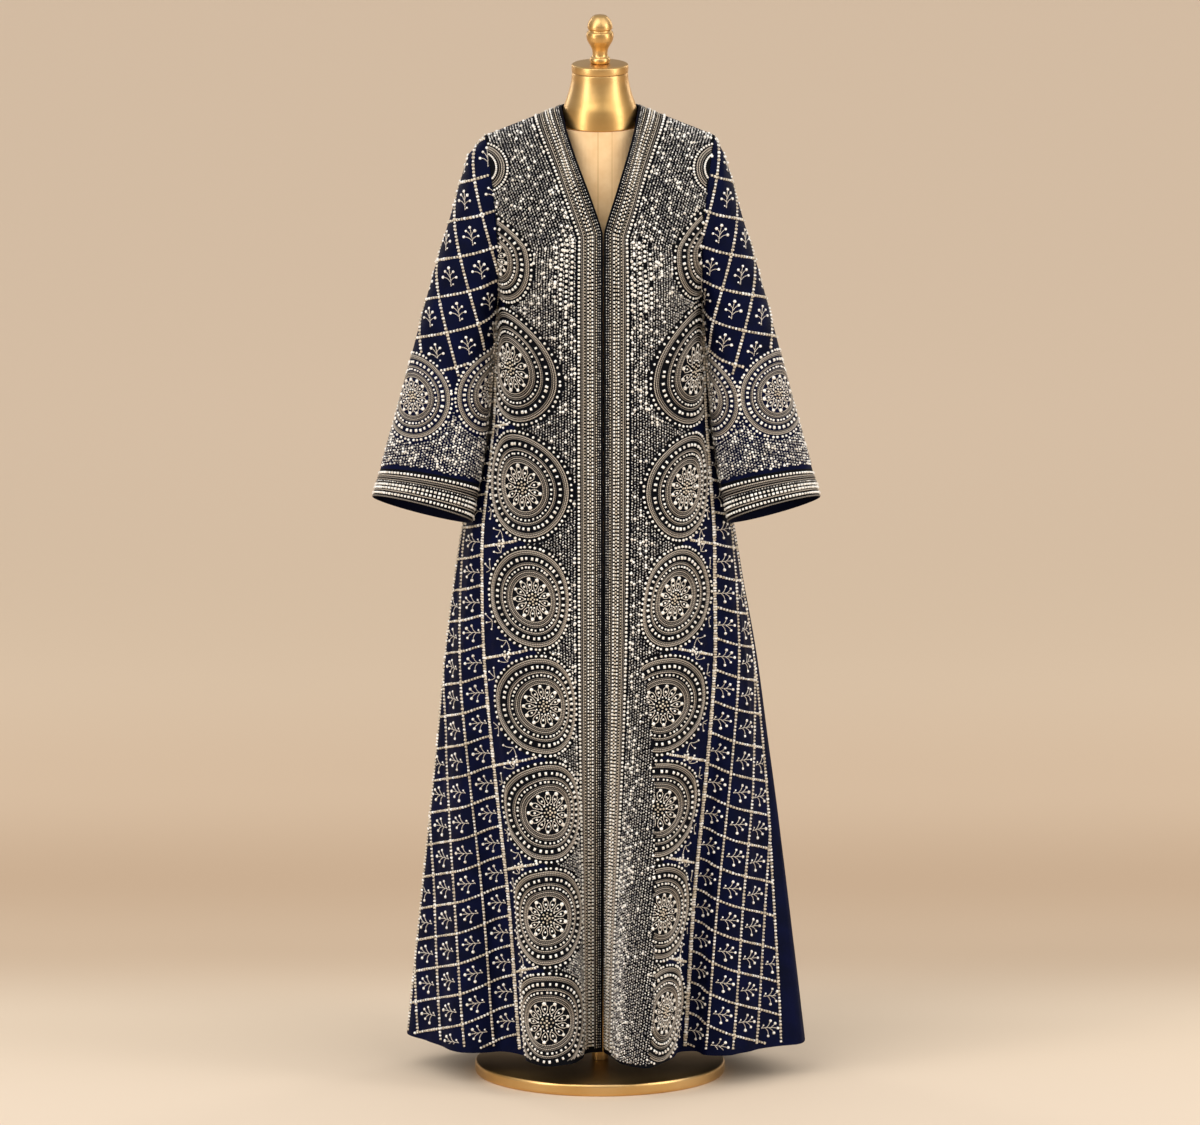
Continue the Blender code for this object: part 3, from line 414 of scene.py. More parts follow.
def upper_point(share, place, side):
    """Body above the underarm: ovals that close towards the falling shoulder line.

    Places 0 to 1 are the front, 2 to 3 the back; between them lies the armhole.
    """
    turn = turn_of(place, armhole_turn(share, True), pi - armhole_turn(share, False))
    front = FRONT_CHEST * np.sqrt(np.clip(1.0 - share ** FRONT_SLOPE_POWER, 0.0, 1.0))
    back = BACK_CHEST * np.sqrt(np.clip(1.0 - share ** BACK_SLOPE_POWER, 0.0, 1.0))
    across, forward = oval(turn, full_half_width(share), front, back)
    height = UNDERARM_Z + (shoulder_height(across) - UNDERARM_Z) * share
    lean = FRONT_LEAN * np.clip((1.0 - share) / LEAN_DIES_OVER, 0.0, 1.0)
    lean = lean * np.clip(1.0 - place, 0.0, 1.0) ** 2
    return together(side * across + lean, -forward, height)


def skirt_sizes(height, side):
    """Half width of the skirt at a height and the turns of the gore's two seams."""
    own = 1 if side < 0 else 2
    return (at_height(SKIRT_SECTIONS, own, height),
            np.radians(at_height(GORE_SEAMS, 1, height)),
            np.radians(at_height(GORE_SEAMS, 1 + own, height)))


def skirt_section(height, place, side):
    """Unfolded oval of the skirt: across and forward at a height and place."""
    half_width, front_seam, side_seam = skirt_sizes(height, side)
    turn = turn_of(place, front_seam, side_seam)
    across, forward = oval(turn, half_width, at_height(SKIRT_SECTIONS, 3, height),
                           at_height(SKIRT_SECTIONS, 4, height))
    return across + side * FRONT_LEAN * np.clip(1.0 - place, 0.0, 1.0) ** 2, forward


def way_to_hem(top, height):
    """Share of the way from a height of the skirt down to the hem."""
    return np.clip((top - height) / (top - HEM_Z), 0.0, 1.0)


def skirt_crease(height, place, side):
    """How far the soft creases push the skirt outwards: a bell across each of them."""
    push = np.zeros(np.broadcast(height, place).shape)
    for high, low, top, full, half_width, depth in SKIRT_CREASES[side]:
        centre = high + (low - high) * way_to_hem(top, height)
        grown = soft_step(0.0, 1.0, (top - height) / (top - full))
        push += depth * grown * bell(place, centre, half_width)
    return (push * soft_step(0.0, CREASE_FREE_FRONT, place)
            * soft_step(0.0, CREASE_FREE_BACK, 3.0 - place))


def skirt_point(height, place, side):
    """Body below the underarm: the oval moved towards the folded hem, then creased."""
    across, forward = skirt_section(height, place, side)
    hem_across, hem_forward = skirt_section(HEM_Z, place, side)
    hem = hem_point(place, side)
    folded = way_to_hem(FOLD_TOP_Z, height) ** FOLD_GROWTH
    across = across + folded * (hem[..., 0] - hem_across)
    forward = forward + folded * (hem[..., 1] - hem_forward)
    reach = np.maximum(np.hypot(across, forward), 1e-6)
    push = skirt_crease(height, place, side) / reach
    return together(side * across * (1.0 + push), -forward * (1.0 + push), height)


def body_point(level, place, side):
    """Body shape at a level: 0 to 1 above the underarm, metres below it if negative."""
    level, place = np.broadcast_arrays(np.asarray(level, float), np.asarray(place, float))
    above = upper_point(np.clip(level, 0.0, 1.0), place, side)
    below = skirt_point(UNDERARM_Z + np.minimum(level, 0.0), place, side)
    return np.where((level >= 0.0)[..., None], above, below)


def body_normal(level, place, side):
    """Outward direction of the body shape, from its slopes both ways."""
    level, place = np.broadcast_arrays(np.asarray(level, float), np.asarray(place, float))
    step = 1e-3
    up = (body_point(np.minimum(level + step, 1.0), place, side)
          - body_point(level - step, place, side))
    round_ = (body_point(level, np.clip(place + step, 0.0, 3.0), side)
              - body_point(level, np.clip(place - step, 0.0, 3.0), side))
    out = np.cross(up, round_) * -side
    ridge = level > 0.9999
    out[ridge, 1] = 0.0
    out[ridge, 0] = side * SHOULDER_FALL
    out[ridge, 2] = 1.0
    return unit(out)


FINE_PLACES = 241  # in which a row's length is measured


def spread_places(levels, side, start, end, stops):
    """Places between start and end on each level, at given distances along the cloth.

    stops takes the length of each row and returns the distances for it.
    """
    start, end = (np.broadcast_to(v, levels.shape)[:, None] for v in (start, end))
    dense = start + (end - start) * np.linspace(0.0, 1.0, FINE_PLACES)
    along = lengths_along(body_point(levels[:, None], dense, side))
    distances = stops(along[:, -1:])
    return np.array([np.interp(d, a, p) for d, a, p in zip(distances, along, dense)])


def front_edge_place(levels, side):
    """Place of the free front edge on each level."""
    share = np.clip(levels, 0.0, 1.0)
    above = (turn_at(neck_edge_across(share), full_half_width(share))
             / armhole_turn(share, True))
    height = UNDERARM_Z + np.minimum(levels, 0.0)
    half_width, seam, _ = skirt_sizes(height, side)
    below = (turn_at(FRONT_EDGE_HALF_GAP, half_width) / seam
             * (1.0 - way_to_hem(FOLD_TOP_Z, height)) ** 2)
    return np.where(levels >= 0.0, above, below)


def band_width_at(levels):
    """Width of the band at a level, with its ease on the shoulder."""
    climb = np.clip((levels - V_POINT_SHARE) / (1.0 - V_POINT_SHARE), 0.0, 1.0)
    return BAND_WIDTH + BAND_SHOULDER_EASE * climb


def shoulder_levels():
    """Levels from the shoulder line down to the underarm, close together at both."""
    return (1.0 + np.cos(np.linspace(0.0, pi, SHOULDER_ROWS + 1))) / 2.0


def skirt_levels():
    """Levels from the underarm down to the hem."""
    return -(UNDERARM_Z - HEM_Z) * even_shares(SKIRT_ROWS)


def cloak_levels():
    """All levels of a front, shoulder line to hem."""
    return np.concatenate((shoulder_levels(), skirt_levels()[1:]))


SEARCH_STEPS = 24  # Newton steps in finding a spot of a chart
SEARCH_MISS = 0.0006  # how near the chart must come for the spot to count
SEARCH_MARGIN = 0.4  # rows or columns that the search may leave the piece by


class Cloth:
    """One cut piece lying in place: rows of points on its outer face and their normals.

    side is -1 on the wearer's right and 1 on the left.  chart holds two flat
    coordinates for every point of the grid, by which the embroidery finds its place
    on the piece.
    """

    def __init__(self, points, out, side, chart=None):
        self.points, self.out, self.side, self.chart = points, out, side, chart
        self.medallions, self.pieces = None, []

    def read(self, values, rows, columns):
        """Values of the grid between its rows and columns, by straight blending."""
        last_row, last_column = values.shape[0] - 2, values.shape[1] - 2
        r = np.clip(np.floor(rows).astype(int), 0, last_row)
        c = np.clip(np.floor(columns).astype(int), 0, last_column)
        fr, fc = (rows - r)[..., None], (columns - c)[..., None]
        low = values[r, c] * (1 - fc) + values[r, c + 1] * fc
        high = values[r + 1, c] * (1 - fc) + values[r + 1, c + 1] * fc
        return low * (1 - fr) + high * fr

    def slopes(self, values, rows, columns):
        """How grid values change per row and per column around a spot."""
        return (self.read(values, rows + 0.5, columns) - self.read(values, rows - 0.5, columns),
                self.read(values, rows, columns + 0.5) - self.read(values, rows, columns - 0.5))

    def find(self, first, second):
        """Rows and columns at which the chart reads these coordinates, and which are inside.

        Newton steps from a straight-line fit of the chart.
        """
        grid = self.chart
        r, c = np.indices(grid.shape[:2]).reshape(2, -1).astype(float)
        flat = grid.reshape(-1, 2)
        fit = np.linalg.lstsq(np.column_stack((flat, np.ones(len(flat)))),
                              np.column_stack((r, c)), rcond=None)[0]
        wanted = together(first, second).astype(float)
        most = np.array(grid.shape[:2]) - 1.0
        spot = np.clip(wanted @ fit[:2] + fit[2], 0.0, most)
        for _ in range(SEARCH_STEPS):
            down, over = self.slopes(grid, spot[..., 0], spot[..., 1])
            miss = wanted - self.read(grid, spot[..., 0], spot[..., 1])
            move = together(crossed(miss, over), crossed(down, miss))
            move = move / nonzero(crossed(down, over))[..., None]
            spot = np.clip(spot + np.clip(move, -most / 3, most / 3), -SEARCH_MARGIN,
                           most + SEARCH_MARGIN)
        rows, columns = spot[..., 0], spot[..., 1]
        miss = np.linalg.norm(wanted - self.read(grid, rows, columns), axis=-1)
        inside = (miss < SEARCH_MISS) & ((spot >= 0.0) & (spot <= most)).all(axis=-1)
        return rows, columns, inside

    def spots(self, first, second):
        """Where chart coordinates lie on the cloth.

        Returns the points, the normals, the directions in which the first and the
        second coordinate grow, and which spots are inside the piece.
        """
        rows, columns, inside = self.find(first, second)
        out = unit(self.read(self.out, rows, columns))
        down, over = self.slopes(self.chart, rows, columns)
        point_down, point_over = self.slopes(self.points, rows, columns)
        size = nonzero(crossed(down, over))[..., None]
        toward_first = (point_down * over[..., 1:2] - point_over * down[..., 1:2]) / size
        toward_first = unit(toward_first
                            - out * np.sum(toward_first * out, axis=-1, keepdims=True))
        toward_second = (point_over * down[..., 0:1] - point_down * over[..., 0:1]) / size
        square = np.cross(out, toward_first)
        square *= np.sign(np.sum(square * toward_second, axis=-1, keepdims=True))
        return self.read(self.points, rows, columns), out, toward_first, square, inside


# ---- the cut pieces ----
def cloth_on_body(levels, side, start, end, stops):
    """A piece on the body shape: on each level, places at stops between start and end."""
    places = spread_places(levels, side, start, end, stops)
    level = levels[:, None]
    return Cloth(body_point(level, places, side), body_normal(level, places, side), side)


def down_and_across(points, start=0.0):
    """Chart of a straight piece: metres across each row, and metres down its first column."""
    return together(start + lengths_along(points), lengths_along(points, axis=0)[:, :1])


# The medallion column of each front, in metres of cloth: how far down from the
# shoulder seam, the column's centre from the front edge, how much cloth each half of a
# medallion takes, and how far from the edge the fold cuts the medallions off.
MEDALLIONS = {
    -1: np.array((
        # number, fall, centre, inner half, outer half, cut
        (0, 0.056, 0.200, 0.075, 0.075, 0.000),
        (1, 0.240, 0.187, 0.074, 0.075, 0.000),
        (2, 0.424, 0.153, 0.087, 0.075, 0.000),
        (3, 0.599, 0.123, 0.076, 0.066, 0.000),
        (4, 0.765, 0.106, 0.056, 0.077, 0.000),
        (5, 0.925, 0.094, 0.052, 0.087, 0.000),
        (6, 1.085, 0.095, 0.056, 0.095, 0.000),
        (7, 1.243, 0.117, 0.079, 0.075, 0.000),
        (8, 1.400, 0.138, 0.092, 0.086, 0.000),
        (9, 1.560, 0.160, 0.092, 0.086, 0.000),
    )),
    1: np.array((
        (0, 0.030, 0.200, 0.075, 0.075, 0.000),
        (1, 0.222, 0.188, 0.074, 0.075, 0.000),
        (2, 0.428, 0.160, 0.088, 0.070, 0.000),
        (3, 0.598, 0.130, 0.070, 0.050, 0.000),
        (4, 0.761, 0.111, 0.050, 0.074, 0.030),
        (5, 0.920, 0.097, 0.072, 0.092, 0.074),
        (6, 1.075, 0.103, 0.080, 0.096, 0.095),
        (7, 1.235, 0.137, 0.080, 0.086, 0.114),
        (8, 1.386, 0.175, 0.080, 0.078, 0.136),
        (9, 1.550, 0.190, 0.080, 0.078, 0.136),
    )),
}
MEDALLION_PITCH = 0.160
MEDALLION_R = 0.075  # centre to the outer dots
FIELD_EDGE = 0.004  # the beaded field ends this far beyond the column's centre
FIELD_OPENS = (0.40, 0.52)  # between these levels it opens over the whole front
FIELD_OPENS_BY = 0.4  # metres, more than a front is wide
LEAST_EASE = 1e-4  # metres; keeps the square term from vanishing


def front_cloth(side):
    """Straight front from the band seam to the armhole and the gore seam."""
    levels = cloak_levels()
    first = (band_width_at(levels) + SEAM_GAP)[:, None]
    gap = np.where(levels <= 0.0, SEAM_GAP, 0.0)[:, None]
    shares = even_shares(FRONT_COLUMNS)
    cloth = cloth_on_body(levels, side, front_edge_place(levels, side), 1.0,
                          lambda length: first + (length - gap - first) * shares)
    cloth.points[0, :, 1] -= SEAM_GAP / 2.0
    cloth.chart = down_and_across(cloth.points, first)
    cloth.levels, cloth.fall = levels, cloth.chart[:, 0, 1]
    cloth.medallions = medallion_chart(cloth)
    return cloth


def column_sizes(side, number):
    """Centre, inner half, outer half and cut of the medallion column at a number down it."""
    table = MEDALLIONS[side]
    return [smooth_through(table[:, 0], table[:, i], number) for i in (2, 3, 4, 5)]


def medallion_chart(cloth):
    """Metres out from the medallion column's centre, metres down it, and past the field.

    A medallion is a circle in this chart: the cloth's halves are eased with a
    square term so that the inner and the outer half each reach its radius.
    """
    numbers, falls = MEDALLIONS[cloth.side][:, :2].T
    across, fall = np.moveaxis(cloth.chart, -1, 0)
    number = np.interp(fall, falls, numbers)
    centre, inner, outer, cut = column_sizes(cloth.side, number)
    straight, curved = (inner + outer) / 2.0, (outer - inner) / 2.0
    curved = np.where(np.abs(curved) < LEAST_EASE, LEAST_EASE, curved)
    from_centre = across - centre
    root = np.sqrt(np.clip(straight ** 2 + 4.0 * curved * from_centre, 0.0, None))
    out = (root - straight) / (2.0 * curved) * MEDALLION_R
    out = np.where(across < cut, -1.0, out)
    opened = FIELD_OPENS_BY * soft_step(*FIELD_OPENS, cloth.levels[:, None])
    field = out - FIELD_EDGE - opened
    return together(out, (number - 1.0) * MEDALLION_PITCH, field)


GORE_FLATTENED = 0.5  # the embroidery is measured on the gore pressed this flat


def gore_cloth(side):
    """Flared side gore, a narrow top at the underarm widening to the hem."""
    levels = skirt_levels()
    levels[0] -= SEAM_GAP
    shares = even_shares(GORE_COLUMNS)
    cloth = cloth_on_body(levels, side, 1.0, 2.0,
                          lambda length: (length - SEAM_GAP) * shares)
    pressed = lengths_along(cloth.points * np.array((1.0, GORE_FLATTENED, 1.0)))
    cloth.chart = together(pressed, -levels[:, None])
    return cloth


def band_reach():
    """Distance from the centre at which the band's outer edge crosses the shoulder line."""
    return NECK_SIDE_X + (BAND_WIDTH + BAND_SHOULDER_EASE) / sqrt(1.0 + SHOULDER_FALL ** 2)


def back_seam_share(across, gap):
    """Share of the way up of the seam under the neck band: an ellipse round the neck."""
    reach = band_reach() + gap
    ratio = np.clip(across / reach, 0.0, 1.0)
    seam = shoulder_height(reach) - (BACK_SEAM_DROP + gap) * np.sqrt(1.0 - ratio ** 2)
    share = (seam - UNDERARM_Z) / (shoulder_height(across) - UNDERARM_Z)
    return np.where(ratio < 1.0, np.minimum(share, 1.0), 1.0)


def back_place(across, share):
    """Place of a distance across on the back, at a share of the way up."""
    return 3.0 - turn_at(across, full_half_width(share)) / armhole_turn(share, False)


def back_reach():
    """Distances from the centre back of the back's columns along its top edge."""
    reach = band_reach() + NECK_SEAM_GAP
    under_band = reach * np.cos(np.linspace(pi / 2, 0.0, BACK_NECK_ROWS + 1))
    count = BACK_HALF_COLUMNS - BACK_NECK_ROWS
    return np.concatenate((under_band, np.linspace(reach, SHOULDER_TIP_X, count + 1)[1:]))


def back_cloth(side):
    """Plain back half, centre back to side seam: the top edge follows the neck band.

    Above the underarm the columns pass from even shares of each row's length to
    shares of its width, as the top edge needs.
    """
    reach = back_reach()
    part = (even_shares(BACK_HALF_COLUMNS) + reach / reach[-1]) / 2.0
    top = back_seam_share(reach, NECK_SEAM_GAP)
    turn_share = shoulder_levels()[:, None]
    share = turn_share * top
    by_width = back_place(reach / armhole_across(top) * armhole_across(share), share)
    by_length = np.concatenate([spread_places(levels, side, 3.0, 2.0,
                                              lambda length, p=p: length * p)
                                for levels, p in zip(share.T, part)], axis=1)
    upper = turn_share * by_width + (1.0 - turn_share) * by_length
    levels = skirt_levels()[1:]
    lower = spread_places(levels, side, 3.0, 2.0, lambda length: length * part)
    level = np.concatenate((share, np.broadcast_to(levels[:, None], lower.shape)))
    places = np.concatenate((upper, lower))
    points, out = body_point(level, places, side), body_normal(level, places, side)
    out[:, 0, 0] = 0.0
    points[:, 0, 0] = side * SEAM_GAP / 2.0
    points[0, :, 1] += SEAM_GAP / 2.0
    return Cloth(points, unit(out), side, down_and_across(points))


def neck_band_rows(side):
    """Rows of the standing back of the neck band, centre back to the shoulder."""
    turn = np.linspace(pi / 2, 0.0, BACK_NECK_ROWS + 1)[:-1, None]
    inner_edge = together(NECK_SIDE_X * np.cos(turn), -BACK_NECK_DEPTH * np.sin(turn),
                          NECK_SIDE_Z - BACK_NECK_DROP * np.sin(turn))
    inner_edge = inner_edge * np.array((side, -1.0, 1.0))
    across = band_reach() * np.cos(turn)
    share = back_seam_share(across, 0.0)
    outer_edge = body_point(share, back_place(across, share), side)
    return inner_edge + (outer_edge - inner_edge) * even_shares(BAND_COLUMNS)[:, None]


def grid_normals(points):
    """Outward directions of a strip that faces up or back, from its own slopes."""
    out = np.cross(np.gradient(points, axis=0), np.gradient(points, axis=1))
    return unit(out * np.where(out[..., 2:3] < 0.0, -1.0, 1.0))


def band_cloth(side):
    """Front band: centre back of the neck, over the shoulder and down the front edge."""
    behind = neck_band_rows(side)
    levels = cloak_levels()
    shares = even_shares(BAND_COLUMNS)
    width = band_width_at(levels)[:, None]
    before = cloth_on_body(levels, side, front_edge_place(levels, side), 1.0,
                           lambda length: width * shares)
    points = np.concatenate((behind, before.points))
    out = np.concatenate((grid_normals(behind), before.out))
    out[0, :, 0] = 0.0
    points[0, :, 0] = side * SEAM_GAP / 2.0
    fall = lengths_along(points, axis=0)[:, -1:]
    return Cloth(points, unit(out), side, together(shares, fall))


# The way a sleeve hangs: down and outwards, seen from the front
SLEEVE_FALL = unit(np.array((0.210, 0.978)))
SLEEVE_FLATTENED = 0.6  # the embroidery is measured on the sleeve pressed this flat
SLEEVE_EASING = 1.15  # its rows lie closer together at the armhole
STRAIGHT_BEHIND = (0.48, 0.56)  # shares of the way round, from the shoulder line back
STRAIGHT_ROWS = (6, 16)  # the first rows take their way from these two


def armhole_ring(turns, side):
    """Armhole edge of the body pieces: turn 0 at the shoulder tip, a half turn below."""
    level = (1.0 + np.cos(turns)) / 2.0
    place = np.where(turns < pi - 1e-9, 1.0, 2.0)
    return body_point(level, place, side), body_normal(level, place, side)


def sleeve_crease(downs, turns, side):
    """How far the soft drag creases push the sleeve outwards: a bell across each."""
    push = np.zeros(np.broadcast(downs, turns).shape)
    for high, low, start, end, half_width, depth in SLEEVE_CREASES[side]:
        along = np.clip((downs - start) / (end - start), 0.0, 1.0)
        centre = high + (low - high) * along
        grown = np.sin(pi * along) ** 2
        push += depth * grown * bell(turns, centre, half_width)
    return push


def sleeve_points(downs, turns, side):
    """Sleeve tube: the armhole edge eased into leaning ovals down to the cuff.

    downs is the share of the way down; turn 0 is the outer fold and a quarter
    turn the front.
    """
    knots = SLEEVE_SECTIONS[:, 0]
    outer_x, outer_z, inner_x, inner_z, ahead, toe_in, half_depth, lift = (
        smooth_through(knots, column, np.maximum(downs, knots[0]))
        for column in SLEEVE_SECTIONS.T[1:])
    outer_x = outer_x - LEFT_SLEEVE_NARROWER * (side > 0)
    out, front = np.cos(turns), np.sin(turns)
    push = sleeve_crease(downs, turns, side)
    across = ((outer_x + inner_x) / 2.0 + (outer_x - inner_x) / 2.0 * out
              + push * out * CREASE_FLATTENED)
    forward = ahead - toe_in * out + half_depth * front + push * front
    height = (outer_z + inner_z) / 2.0 + (outer_z - inner_z) / 2.0 * out + lift * front
    hanging = together(side * across, -forward, height)
    armhole, _ = armhole_ring(turns, side)
    return armhole + (hanging - armhole) * np.clip(downs / knots[0], 0.0, 1.0)[..., None]


def sleeve_chart(points, side):
    """Metres round the sleeve from a straight line down it, the inner fold positive, and
    metres down it.

    The line lies in the middle of the sleeve's front; off it the cloth is measured
    square to the way the sleeve hangs.  Behind the shoulder, where the armhole's short
    rows would fold the chart over, it runs straight on from the rows below them.
    """
    fall = np.array((side * SLEEVE_FALL[0], 0.0, -SLEEVE_FALL[1]))
    inward = np.array((-side * SLEEVE_FALL[1], 0.0, -SLEEVE_FALL[0]))
    tip = np.array((side * SHOULDER_TIP_X, 0.0, SHOULDER_TIP_Z))
    down = (points - tip) @ fall
    flat = points - (points @ fall)[..., None] * fall
    flat[..., 1] *= SLEEVE_FLATTENED
    round_ = lengths_along(flat)
    middle = SLEEVE_COLUMNS // 4
    round_ = ((points[:, middle] - tip) @ inward + round_[:, middle])[:, None] - round_
    near, far = STRAIGHT_ROWS
    lean = (round_[far] - round_[near]) / (down[far] - down[near])
    straight = round_[near] + (down[:near] - down[near]) * lean
    behind = soft_step(*STRAIGHT_BEHIND, even_shares(SLEEVE_COLUMNS))
    round_[:near] += (straight - round_[:near]) * behind
    return together(round_, down)


def sleeve_and_cuff_cloth(side):
    """Sleeve from the armhole to the cuff seam, and the cuff, both opened under the arm."""
    turns = np.linspace(pi, -pi, SLEEVE_COLUMNS + 1)[None, :] % tau
    seam = 1.0 - CUFF_SHARE * (1.0 + CUFF_INNER_EXTRA * (1.0 - np.cos(turns)) / 2.0)
    easing = even_shares(SLEEVE_ROWS)[:, None] ** SLEEVE_EASING
    start = seam + SEAM_GAP / SLEEVE_LENGTH
    cuff_share = even_shares(CUFF_ROWS)[:, None]
    downs = np.concatenate((seam * easing, start + (1.0 - start) * cuff_share))
    points = sleeve_points(downs, turns, side)
    along = np.gradient(points, axis=0)
    ahead = np.roll(points[:, :-1], -1, axis=1) - np.roll(points[:, :-1], 1, axis=1)
    ahead = np.concatenate((ahead, ahead[:, :1]), axis=1)
    out = unit(np.cross(along, ahead) * side)
    _, body_out = armhole_ring(turns, side)
    high = ((1.0 + np.cos(turns)) / 2.0)[..., None] ** 2
    out[:1] = unit(out[:1] * (1.0 - high) + body_out * high)
    points[0] += np.array((side * ARMHOLE_GAP, 0.0, 0.0))
    chart = sleeve_chart(points, side)
    count = SLEEVE_ROWS + 1
    return (Cloth(points[:count], out[:count], side, chart[:count]),
            Cloth(points[count:], out[count:], side,
                  together(lengths_along(points[count:]), cuff_share)))


# ---- making the meshes ----
def put_in_scene(name, data):
    """A new object that holds the data, linked to the scene."""
    thing = bpy.data.objects.new(name, data)
    bpy.context.scene.collection.objects.link(thing)
    return thing


def show(mesh, materials):
    """A finished piece: the mesh in place, its materials, riding on the one body."""
    mesh.update()
    mesh.shade_smooth()
    for material in materials:
        mesh.materials.append(material)
    thing = put_in_scene(mesh.name, mesh)
    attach(thing, "root")
    return thing


def new_mesh(name, points, faces, material_of_face=None):
    """Mesh from an array of points and a list of arrays of faces, each of one size."""
    mesh = bpy.data.meshes.new(name)
    sizes = np.concatenate([np.full(len(f), f.shape[1]) for f in faces])
    corners = np.concatenate([f.ravel() for f in faces]).astype(np.int32)
    starts = np.concatenate(([0], np.cumsum(sizes)[:-1])).astype(np.int32)
    mesh.vertices.add(len(points))
    mesh.vertices.foreach_set("co", np.ascontiguousarray(points, dtype=np.float32).ravel())
    mesh.loops.add(len(corners))
    mesh.loops.foreach_set("vertex_index", corners)
    mesh.polygons.add(len(sizes))
    mesh.polygons.foreach_set("loop_start", starts)
    mesh.polygons.foreach_set("loop_total", sizes.astype(np.int32))
    if material_of_face is not None:
        mesh.polygons.foreach_set("material_index", material_of_face.astype(np.int32))
    mesh.update(calc_edges=True)
    return mesh


def give_map(mesh, name, of_point):
    """A UV map read from two numbers for each point of the mesh."""
    corners = np.empty(len(mesh.loops), dtype=np.int32)
    mesh.loops.foreach_get("vertex_index", corners)
    layer = mesh.uv_layers.new(name=name)
    layer.data.foreach_set("uv", np.ascontiguousarray(of_point[corners],
                                                      dtype=np.float32).ravel())


def strip_faces(rows, columns, start=0):
    """Square faces of a grid of points, row by row."""
    index = np.arange(rows * columns).reshape(rows, columns) + start
    faces = together(index[:-1, :-1], index[1:, :-1], index[1:, 1:], index[:-1, 1:])
    return faces.reshape(-1, 4)


def sew_cloth(name, cloth, face_material, lining, closed=False):
    """Thin shell of a piece: its outer face, the same face one wall further in, and rims.

    closed joins the first and last columns, which lie on each other, as a tube.
    """
    points, out = cloth.points, cloth.out
    rows, columns = points.shape[:2]
    count = rows * columns
    both = np.concatenate((points.reshape(-1, 3), (points - out * WALL).reshape(-1, 3)))
    outer = strip_faces(rows, columns)
    inner = strip_faces(rows, columns, count)[:, ::-1]
    index = np.arange(count).reshape(rows, columns)
    edges = [index[0], index[-1][::-1]]
    if not closed:
        edges += [index[:, 0][::-1], index[:, -1]]
    rims = [together(e[:-1], e[1:], e[1:] + count, e[:-1] + count) for e in edges]
    faces = np.concatenate([outer, inner] + rims)
    a, b, c = (both[outer[:, i]] for i in (0, 1, 2))
    facing = np.sum(np.cross(b - a, c - a) * out.reshape(-1, 3)[outer[:, 0]])
    if facing < 0.0:
        faces = faces[:, ::-1]
    mesh = new_mesh(name, both, [faces], np.arange(len(faces)) >= len(outer))
    give_map(mesh, "cloth", np.tile(cloth.chart.reshape(-1, 2), (2, 1)))
    if cloth.medallions is not None:
        layer = mesh.attributes.new("medallion", "FLOAT_VECTOR", "POINT")
        layer.data.foreach_set("vector", np.tile(cloth.medallions.reshape(-1, 3),
                                                 (2, 1)).astype(np.float32).ravel())
    if closed:
        weld(mesh, index, count)
    mesh.set_sharp_from_angle(angle=CLOTH_SHARP)
    cloth.area = float(np.linalg.norm(np.cross(c - a, both[outer[:, 3]] - b),
                                      axis=1).sum() / 2.0)
    cloth.thing = show(mesh, (face_material, lining))
    return cloth.thing


def weld(mesh, index, count):
    """Join the first and last columns of a tube, which hold the same points."""
    builder = bmesh.new()
    builder.from_mesh(mesh)
    builder.verts.ensure_lookup_table()
    target = {}
    for layer in (0, count):
        for first, last in zip(index[:, 0] + layer, index[:, -1] + layer):
            target[builder.verts[int(last)]] = builder.verts[int(first)]
    bmesh.ops.weld_verts(builder, targetmap=target)
    builder.to_mesh(mesh)
    builder.free()


# ---- beads and cord ----
def bead_form(sides, rings, top):
    """A bead that stands on the cloth: rings from the cloth upwards and a flat or round top.

    rings holds radius and height, and top the height of the round top's tip or None.
    Returns its points and its faces by size.
    """
    step = np.arange(sides)
    turn = step * tau / sides + pi / 4
    points = np.concatenate([together(radius * np.cos(turn), radius * np.sin(turn), height)
                             for radius, height in rings])
    nxt = (step + 1) % sides
    faces = {4: [], 3: []}
    for level in range(len(rings) - 1):
        low, high = level * sides, (level + 1) * sides
        faces[4].append(together(step + low, nxt + low, nxt + high, step + high))
    last = (len(rings) - 1) * sides
    if top is None:
        faces[4].append((step + last)[None, :])
    else:
        points = np.concatenate((points, [(0.0, 0.0, top)]))
        faces[3].append(together(step + last, nxt + last, len(points) - 1))
    return points, {size: np.concatenate(f) for size, f in faces.items() if f}


BEAD_FORMS = {
    # pressed round bead, and a small seed bead or a square one by its proportions
    "round": bead_form(6, ((1.0, 0.0), (0.86, 0.58)), 1.0),
    "seed": bead_form(4, ((1.22, 0.0), (0.80, 1.0)), None),
}


CORD_SECTION = (
    # across, as a share of the width; up, as a share of the height
    (-0.50, 0.0),
    (-0.26, 1.0),
    (0.26, 1.0),
    (0.50, 0.0),
)
CORD_LIFT = 0.00005  # a cord's edges stand this far off the cloth


